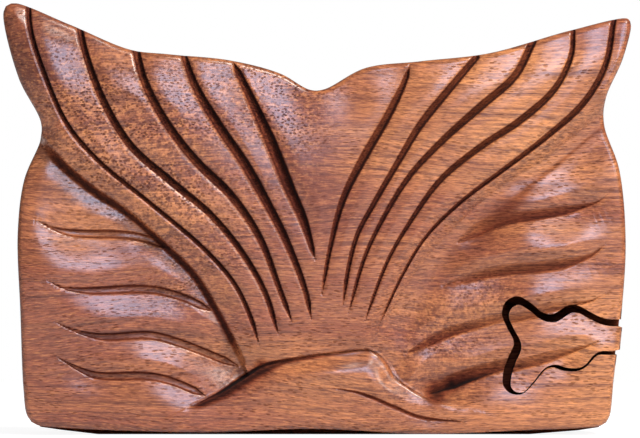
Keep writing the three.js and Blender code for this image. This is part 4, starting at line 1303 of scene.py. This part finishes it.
@dataclass
class Lid:
    """The carved lid and the key sawn out of it."""

    plan: FacePlan
    carving: Carving
    stack: Stack
    columns: int = 640
    rows: int = 440
    kept_faces: int = 184000
    sharp_angle: float = 80.0
    kerf: float = 1.3
    shaded_kerfs: float = 2.0
    key_drop: float = 0.35
    key_shift: float = 0.5
    key_tilt: float = 1.0
    fit: float = 0.3
    dowel_radius: float = 5.0
    dowel_in_lid: float = 8.0
    stop_pin_radius: float = 1.5
    stop_pin_in_lid: float = 3.0
    stop_orbit: float = 20.0
    stop_angle: float = -10.0
    swing: float = 90.0
    magnet_radius: float = 4.0
    magnet_height: float = 3.0
    pivot: Pair = (11, 82.4)
    magnet_place: Pair = (86.4, 21.2)
    gold_patches: tuple[tuple[Pair, float, float], ...] = (
        ((82, 78), 17, 0.85), ((64, 73), 10, 0.45), ((56, 66), 8, 0.3), ((94, 11), 15, 0.75), ((80, 5), 12, 0.3),
        ((95, 27), 10, 0.4), ((16, 68), 14, 0.2), ((27, 56), 12, 0.25), ((10, 88), 10, -0.15), ((12, 49), 9, 0.4),
        ((48, 9), 12, 0.3), ((78, 22), 8, 0.2), ((50, 56), 14, -0.3), ((4, 86), 10, -0.6), ((10, 14), 14, -0.15),
        ((80, 44), 10, -0.1),
    )
    mottled_patches: tuple[tuple[Pair, float, float], ...] = (
        ((10, 85), 14, 0.7), ((16, 68), 15, 0.8), ((27, 54), 13, 0.8), ((35, 40), 10, 0.6), ((31, 76), 14, 0.8),
        ((46, 80), 13, 1.0), ((45, 62), 10, 0.5), ((70, 23), 13, 0.8), ((78, 33), 8, 0.5), ((27, 33), 8, 0.5),
        ((35, 15), 6, 0.6), ((62, 8), 8, 0.3),
    )

    @property
    def pivot_centre(self) -> np.ndarray:
        """The swing's axis on the face, in millimetres."""
        return self.plan.point(self.pivot)

    @property
    def stop_centre(self) -> np.ndarray:
        """The stop pin's place on the face."""
        angle = math.radians(self.stop_angle)
        return self.pivot_centre + self.stop_orbit * np.array([math.cos(angle), math.sin(angle)])

    @property
    def magnet_centre(self) -> np.ndarray:
        """The magnets' place on the face."""
        return self.plan.point(self.magnet_place)

    def slab(self, name: str) -> bpy.types.Object:
        """The whole carved slab, before anything is sawn or bored.

        Args:
            name: the object's name.

        Returns:
            The slab, lying on its back in millimetres.
        """
        coarse = 1
        bm = bmesh.new()
        bmesh.ops.create_grid(bm, x_segments=self.columns // coarse, y_segments=self.rows // coarse, size=0.5)
        front = len(bm.verts)
        border = [edge for edge in bm.edges if edge.is_boundary]
        made = bmesh.ops.extrude_edge_only(bm, edges=border)["geom"]
        hem = [item for item in made if isinstance(item, bmesh.types.BMEdge)]
        bmesh.ops.edgeloop_fill(bm, edges=[edge for edge in hem if edge.is_boundary])
        slab = mesh_object(bm, name)
        flat = vertex_places(slab)[:, :2]
        shares = flat / np.abs(flat).max() / 2 + 0.5
        places = self.plan.patch(shares[:, 0], shares[:, 1])
        heights = np.full(len(places), self.stack.lid_back)
        heights[:front] += self.carving.height(places[:front])
        slab.data.vertices.foreach_set("co", np.column_stack([places, heights]).ravel())
        slab.data.update()
        return slab

    def thin(self, slab: bpy.types.Object, ratio: float) -> None:
        """Thins the slab's mesh, and keeps it fine where the gouges have cut.

        Args:
            slab: the slab, lying on its back in millimetres.
            ratio: the share of its faces that is kept.
        """
        plain = ~self.carving.worked(vertex_places(slab)[:, :2])
        slab.vertex_groups.new(name="plain").add(np.flatnonzero(plain).tolist(), 1.0, "REPLACE")
        thin = slab.modifiers.new("thin", "DECIMATE")
        thin.ratio = ratio
        thin.vertex_group = "plain"
        thin.vertex_group_factor = 0.01
        bake(slab)
        slab.vertex_groups.clear()

    def bore(self, centre: np.ndarray, radius: float, depth: float) -> bpy.types.Object:
        """The tool that bores a round hole in the lid's back, wider than its pin by the fit."""
        back = self.stack.lid_back
        return drill(centre, radius + self.fit, back - self.stack.spare, back + depth)

    def stop_slot(self) -> bpy.types.Object:
        """The tool that cuts the arc slot for the stop pin."""
        pivot = self.pivot_centre
        half = self.stop_pin_radius + self.fit
        start, end = math.radians(self.stop_angle), math.radians(self.stop_angle - self.swing)

        def arc(centre: np.ndarray, radius: float, first: float, last: float, steps: int) -> np.ndarray:
            """Points along an arc."""
            angles = np.linspace(first, last, steps)
            return centre + radius * np.stack([np.cos(angles), np.sin(angles)], axis=1)

        ends = [arc(pivot, self.stop_orbit, angle, angle, 1)[0] for angle in (start, end)]
        points = np.vstack([
            arc(pivot, self.stop_orbit + half, start, end, 24),
            arc(ends[1], half, end, end - math.pi, 10)[1:-1],
            arc(pivot, self.stop_orbit - half, end, start, 24),
            arc(ends[0], half, start + math.pi, start, 10)[1:-1],
        ])
        low = self.stack.lid_back - self.stack.spare
        return outline_prism(points, low, self.stack.lid_back + self.stop_pin_in_lid + self.fit)

    def masks(self, obj: bpy.types.Object, places: np.ndarray) -> None:
        """Writes what the finish reads: the grooves' staining and painted shade, the sawn edge whose walls get
        painted shade, and the mottled and golden patches.

        Args:
            obj: the piece.
            places: each vertex's place on the face.
        """
        write_mask(obj, "groove", self.carving.stain_and_shade(places))
        # The saw's walls within this reach get painted shade
        near_saw = np.abs(Polyline(self.plan.saw_line()).measure(places)[0]) < self.shaded_kerfs * self.kerf
        write_mask(obj, "sawn", near_saw)
        write_mask(obj, "mottle", self.carving.mounds(places, self.mottled_patches))
        write_mask(obj, "gold", self.carving.mounds(places, self.gold_patches))

    def build(self, finishes: Finishes) -> None:
        """Builds and dresses the lid and the key."""
        saw = self.plan.saw_line()
        low, high = self.stack.lid_back - self.stack.spare, self.stack.through
        lid = self.slab("carved_lid_wood")
        key = linked("lock_key_wood", lid.data.copy())
        faces = sum(len(face.vertices) - 2 for face in lid.data.polygons)
        if faces > self.kept_faces:
            self.thin(lid, self.kept_faces / faces)
        combine(lid, outline_prism(saw, low, high), "DIFFERENCE")
        combine(lid, self.bore(self.pivot_centre, self.dowel_radius, self.dowel_in_lid), "DIFFERENCE")
        combine(lid, self.stop_slot(), "DIFFERENCE")
        combine(key, outline_prism(self.plan.key_outline(self.kerf), low, high), "INTERSECT")
        mouth = Vector((*self.plan.point(KEY_MOUTH), 0))
        move = (Matrix.Translation(mouth + Vector((self.key_shift, -self.key_drop, 0)))
                @ Matrix.Rotation(math.radians(self.key_tilt), 4, "Z") @ Matrix.Translation(-mouth))
        key.data.transform(move)
        combine(key, self.bore(self.magnet_centre, self.magnet_radius, self.magnet_height), "DIFFERENCE")
        for obj, moved in ((lid, Matrix()), (key, move)):
            stand_up(obj, self.sharp_angle)
            back = np.array(moved.inverted())
            self.masks(obj, face_places(obj) @ back[:2, :2].T + back[:2, 3])
        finishes.dress(lid, Body.LID, Slot.LID, "carved_lid")
        finishes.dress(key, Body.KEY, Slot.KEY, "lock_key")


@dataclass
class Case:
    """The body behind the lid, and its glued back."""

    plan: FacePlan
    stack: Stack
    lid: Lid
    edge_round: float = 1.6
    edge_steps: int = 6
    sharp_angle: float = 35.0
    seam: float = 0.1
    cavity_width: float = 100.0
    cavity_height: float = 53.0
    cavity_corner: float = 9.0
    cavity_place: Pair = (42.5, 36.7)
    plug_radius: float = 8.0
    plug_thickness: float = 4.0
    counterbore_depth: float = 9.0
    stop_pin_in_body: float = 10.0

    def stock(self, name: str, low: float, high: float) -> bpy.types.Object:
        """The body's wood between two heights, with its back edge rounded if it has one.

        Args:
            name: the object's name.
            low: the height of its back.
            high: the height of its front.

        Returns:
            The wood, lying on its back in millimetres.
        """
        edge = self.edge_round if low == 0 else 0.0
        bm, base = raised_outline(self.plan.body_outline(), low + edge, high)
        if edge:
            # The bevel operator leaves out the nearly straight parts, so the edge is rounded by insets
            turns = np.linspace(0, math.pi / 2, self.edge_steps + 1)
            for turn, following in zip(turns, turns[1:]):
                bmesh.ops.inset_region(bm, faces=base, use_boundary=True, use_even_offset=True,
                                       thickness=edge * (math.cos(turn) - math.cos(following)))
                for vert in base[0].verts:
                    vert.co.z = low + edge * (1 - math.sin(following))
        return mesh_object(bm, name)

    def cavity_outline(self, inset: float, corner_steps: int = 12) -> np.ndarray:
        """The cavity's rounded outline, drawn in by a distance."""
        centre = self.plan.point(self.cavity_place)
        corner = self.cavity_corner - inset
        reach = np.array([self.cavity_width, self.cavity_height]) / 2 - inset - corner
        rounds = []
        for quarter, (x, y) in enumerate(((1, -1), (1, 1), (-1, 1), (-1, -1))):
            angles = np.linspace(0, math.pi / 2, corner_steps) + (quarter - 1) * math.pi / 2
            rounds.append(centre + reach * (x, y) + corner * np.stack([np.cos(angles), np.sin(angles)], axis=1))
        return np.vstack(rounds)

    def build(self, finishes: Finishes) -> None:
        """Builds and dresses the body and the back."""
        stack, lid = self.stack, self.lid
        pivot, magnet = lid.pivot_centre, lid.magnet_centre
        front, through = stack.body_front, stack.through

        def hole(centre: np.ndarray, radius: float, low: float, high: float) -> bpy.types.Object:
            """The tool for a round hole, wider than its pin by the fit."""
            return drill(centre, radius + lid.fit, low, high)

        body = self.stock("box_body_wood", stack.back, front + stack.lid_gap - self.seam)
        combine(body, outline_prism(self.cavity_outline(0), -stack.spare, through), "DIFFERENCE")
        for tool in (
            hole(pivot, lid.dowel_radius, -stack.spare, through),
            hole(pivot, self.plug_radius, -stack.spare, self.counterbore_depth),
            hole(lid.stop_centre, lid.stop_pin_radius, front - self.stop_pin_in_body, through),
            hole(magnet, lid.magnet_radius, front - lid.magnet_height, through),
        ):
            combine(body, tool, "DIFFERENCE")
        back = self.stock("back_panel_wood", 0, stack.back)
        combine(back, hole(pivot, self.plug_radius, -stack.spare, through), "DIFFERENCE")
        for obj, node in ((body, "box_body"), (back, "back_panel")):
            stand_up(obj, self.sharp_angle)
            finishes.dress(obj, Body.BOX, Slot.BODY, node)


@dataclass
class Hardware:
    """The pivot's parts, the stop pin and the magnets."""

    case: Case
    washer_radius: float = 6.5
    washer_thickness: float = 1.0
    screw_radius: float = 1.75
    screw_length: float = 18.0
    head_radius: float = 3.5
    head_height: float = 2.4
    edge: float = 0.25
    sharp_angle: float = 40.0

    def finish(self, finishes: Finishes, obj: bpy.types.Object, body: Body, slot: Slot, node: str) -> None:
        """Stands a turned part up and dresses it."""
        stand_up(obj, self.sharp_angle)
        finishes.dress(obj, body, slot, node)

    def disc(self, centre: np.ndarray, radius: float, low: float, high: float, name: str) -> bpy.types.Object:
        """A round bar with its corners softened."""
        profile: Line = [(0, low), (radius, low), (radius, high), (0, high)]
        return turned(softened(profile, self.edge), centre, name)

    def build(self, finishes: Finishes) -> None:
        """Builds and dresses the small parts."""
        case, lid, stack = self.case, self.case.lid, self.case.stack
        pivot, magnet = lid.pivot_centre, lid.magnet_centre
        front, lid_back = stack.body_front, stack.lid_back
        washer_front = case.counterbore_depth - lid.fit
        washer_back = washer_front - self.washer_thickness
        head_back = washer_back - self.head_height
        tip = washer_back + self.screw_length
        pilot = self.screw_radius + lid.fit

        dowel_front = lid_back + lid.dowel_in_lid
        pilot_end = tip + lid.fit
        dowel_profile: Line = [(0, pilot_end), (pilot, pilot_end), (pilot, washer_front),
                               (lid.dowel_radius, washer_front), (lid.dowel_radius, dowel_front), (0, dowel_front)]
        dowel = turned(softened(dowel_profile, self.edge), pivot, "pivot_dowel_wood")
        self.finish(finishes, dowel, Body.LID, Slot.DOWEL, "pivot_dowel")

        washer = self.disc(pivot, self.washer_radius, washer_back, washer_front, "pivot_washer_steel")
        combine(washer, drill(pivot, pilot, -stack.spare, stack.through), "DIFFERENCE")
        self.finish(finishes, washer, Body.LID, Slot.STEEL, "pivot_washer")

        screw_profile: Line = [(0, head_back), (self.head_radius, head_back), (self.head_radius, washer_back),
                               (self.screw_radius, washer_back), (self.screw_radius, tip), (0, tip)]
        screw = turned(softened(screw_profile, self.edge), pivot, "pivot_screw_steel")
        half_slot = self.head_radius / 6
        slot = pivot + np.array([(-2, -1), (2, -1), (2, 1), (-2, 1)]) * (self.head_radius, half_slot)
        combine(screw, outline_prism(slot, -stack.spare, head_back + self.head_height / 2), "DIFFERENCE")
        self.finish(finishes, screw, Body.LID, Slot.STEEL, "pivot_screw")

        for name, centre, radius, low, high, body, slot, node in (
            ("pivot_plug_wood", pivot, case.plug_radius, 0, case.plug_thickness, Body.BOX, Slot.DOWEL, "pivot_plug"),
            ("stop_pin_steel", lid.stop_centre, lid.stop_pin_radius, front - case.stop_pin_in_body,
             lid_back + lid.stop_pin_in_lid, Body.BOX, Slot.STEEL, "stop_pin"),
            ("seat_magnet_nickel", magnet, lid.magnet_radius, front - lid.magnet_height, front,
             Body.BOX, Slot.MAGNET, "seat_magnet"),
            ("key_magnet_nickel", magnet, lid.magnet_radius, lid_back, lid_back + lid.magnet_height,
             Body.KEY, Slot.MAGNET, "key_magnet"),
        ):
            self.finish(finishes, self.disc(centre, radius, low, high, name), body, slot, node)


@dataclass
class Lining:
    """The cavity's felt: a sheet on its floor and a strip round its wall."""

    case: Case
    thickness: float = 1.0
    below_rim: float = 2.0
    sharp_angle: float = 40.0

    def build(self, finishes: Finishes) -> None:
        case, fit, stack = self.case, self.case.lid.fit, self.case.stack
        back = stack.back + fit
        floor = outline_prism(case.cavity_outline(fit), back, back + self.thickness, "floor_felt")
        stand_up(floor, self.sharp_angle)
        finishes.dress(floor, Body.BOX, Slot.FELT, "floor_lining")
        low, high = back + self.thickness + fit, stack.body_front - self.below_rim
        wall = outline_prism(case.cavity_outline(fit), low, high, "wall_felt")
        hollow = outline_prism(case.cavity_outline(fit + self.thickness), -stack.spare, stack.through)
        combine(wall, hollow, "DIFFERENCE")
        stand_up(wall, self.sharp_angle)
        finishes.dress(wall, Body.BOX, Slot.FELT, "wall_lining")


# The studio


@dataclass
class Lamp:
    """One soft lamp, aimed at the box."""

    name: str
    location: tuple[float, float, float]
    size: float
    power: float
    colour: tuple[float, float, float] = (1.0, 1.0, 1.0)

    def build(self, target: Vector) -> None:
        """Hangs the lamp.

        Args:
            target: the point that it is aimed at.
        """
        data = bpy.data.lights.new(self.name, "AREA")
        data.shape = "SQUARE"
        data.size = self.size
        data.energy = self.power
        data.color = self.colour
        lamp = linked(self.name, data)
        lamp.location = self.location
        lamp.rotation_euler = (target - lamp.location).to_track_quat("-Z", "Y").to_euler()


@dataclass
class Studio:
    """The camera, the lamps, the floor and the white surround."""

    plan: FacePlan
    millimetres_per_pixel: float = 0.2417
    picture_middle: Pair = (0.725, 52.3)
    face_plane: float = -0.019
    distance: float = 2.2
    lens_width: float = 36.0
    aim: float = 0.052
    floor_radius: float = 0.7
    floor_segments: int = 96
    floor_colour: Colour = (0.9, 0.9, 0.9, 1.0)
    floor_glow: float = 1.5
    glow_share: float = 0.6
    white: Colour = (1.0, 1.0, 1.0, 1.0)
    soft_colour: Colour = (0.93, 0.96, 1.0, 1.0)
    soft_strength: float = 0.16

    def camera(self) -> None:
        """Places the camera straight in front of the face, framed as the photograph is."""
        data = bpy.data.cameras.new("camera")
        data.sensor_width = self.lens_width
        width = IMAGE_WIDTH * self.millimetres_per_pixel * MM
        data.lens = data.sensor_width * self.distance / width
        camera = linked("camera", data)
        x, z = self.picture_middle
        camera.location = (x * MM, self.face_plane - self.distance, z * MM)
        camera.rotation_euler = (math.pi / 2, 0, 0)
        bpy.context.scene.camera = camera

    def lamps(self) -> None:
        """Hangs the lamps: the main light comes from the upper right in front."""
        target = Vector((0, 0, self.aim))
        for lamp in (
            Lamp("main_light", (0.46, -0.55, 0.85), 0.42, 12.0, (1.0, 0.95, 0.9)),
            Lamp("window", (0.16, -0.95, 0.37), 0.32, 3.3, (0.58, 0.71, 1.0)),
            Lamp("side_light", (0.62, -0.86, 0.36), 0.2, 1.5, (1.0, 0.97, 0.95)),
            Lamp("fill", (-0.9, -0.9, 0.35), 0.8, 0.5, (1.0, 0.96, 0.92)),
        ):
            lamp.build(target)

    def surround(self) -> None:
        """Makes the world white to the camera and soft to the box."""
        world = bpy.data.worlds.new("surround")
        bpy.context.scene.world = world
        world.use_nodes = True
        sketch = NodeSketch(world.node_tree)
        path = sketch.add("ShaderNodeLightPath")
        soft = sketch.add("ShaderNodeBackground", {"Color": self.soft_colour, "Strength": self.soft_strength})
        white = sketch.add("ShaderNodeBackground", {"Color": self.white, "Strength": 1.0})
        seen = sketch.math("MAXIMUM", path.outputs["Is Camera Ray"], path.outputs["Is Transmission Ray"])
        mixed = sketch.add("ShaderNodeMixShader", {0: seen, 1: soft.outputs[0], 2: white.outputs[0]})
        sketch.add("ShaderNodeOutputWorld", {"Surface": mixed.outputs[0]})

    def floor(self) -> None:
        """Lays the pale floor, which keeps the box's shadow."""
        bm = bmesh.new()
        bmesh.ops.create_circle(bm, cap_ends=True, segments=self.floor_segments, radius=self.floor_radius)
        mesh = bpy.data.meshes.new("floor")
        bm.to_mesh(mesh)
        bm.free()
        floor = linked("floor", mesh)
        material = bpy.data.materials.new("pale_floor")
        material.use_nodes = True
        sketch = NodeSketch(material.node_tree)
        path = sketch.add("ShaderNodeLightPath")
        matt = sketch.add("ShaderNodeBsdfDiffuse", {"Color": self.floor_colour})
        glow = sketch.add("ShaderNodeEmission", {"Color": self.white, "Strength": self.floor_glow})
        seen = sketch.math("MULTIPLY", path.outputs["Is Camera Ray"], self.glow_share)
        mixed = sketch.add("ShaderNodeMixShader", {0: seen, 1: matt.outputs[0], 2: glow.outputs[0]})
        sketch.add("ShaderNodeOutputMaterial", {"Surface": mixed.outputs[0]})
        mesh.materials.append(material)

    def build(self) -> None:
        """Sets the whole studio up."""
        self.camera()
        self.lamps()
        self.surround()
        self.floor()
        bpy.context.scene.view_settings.view_transform = "Standard"


def main() -> None:
    """Builds the studio, the finishes and the pieces in order."""
    logging.basicConfig(level=logging.INFO, format="%(name)s: %(message)s")
    plan = FacePlan()
    stack = Stack()
    Studio(plan).build()
    finishes = Finishes()
    lid = Lid(plan, Carving(plan), stack)
    lid.build(finishes)
    case = Case(plan, stack, lid)
    case.build(finishes)
    Hardware(case).build(finishes)
    Lining(case).build(finishes)
    LOG.info("The box is dressed")


if __name__ == "__main__":
    main()
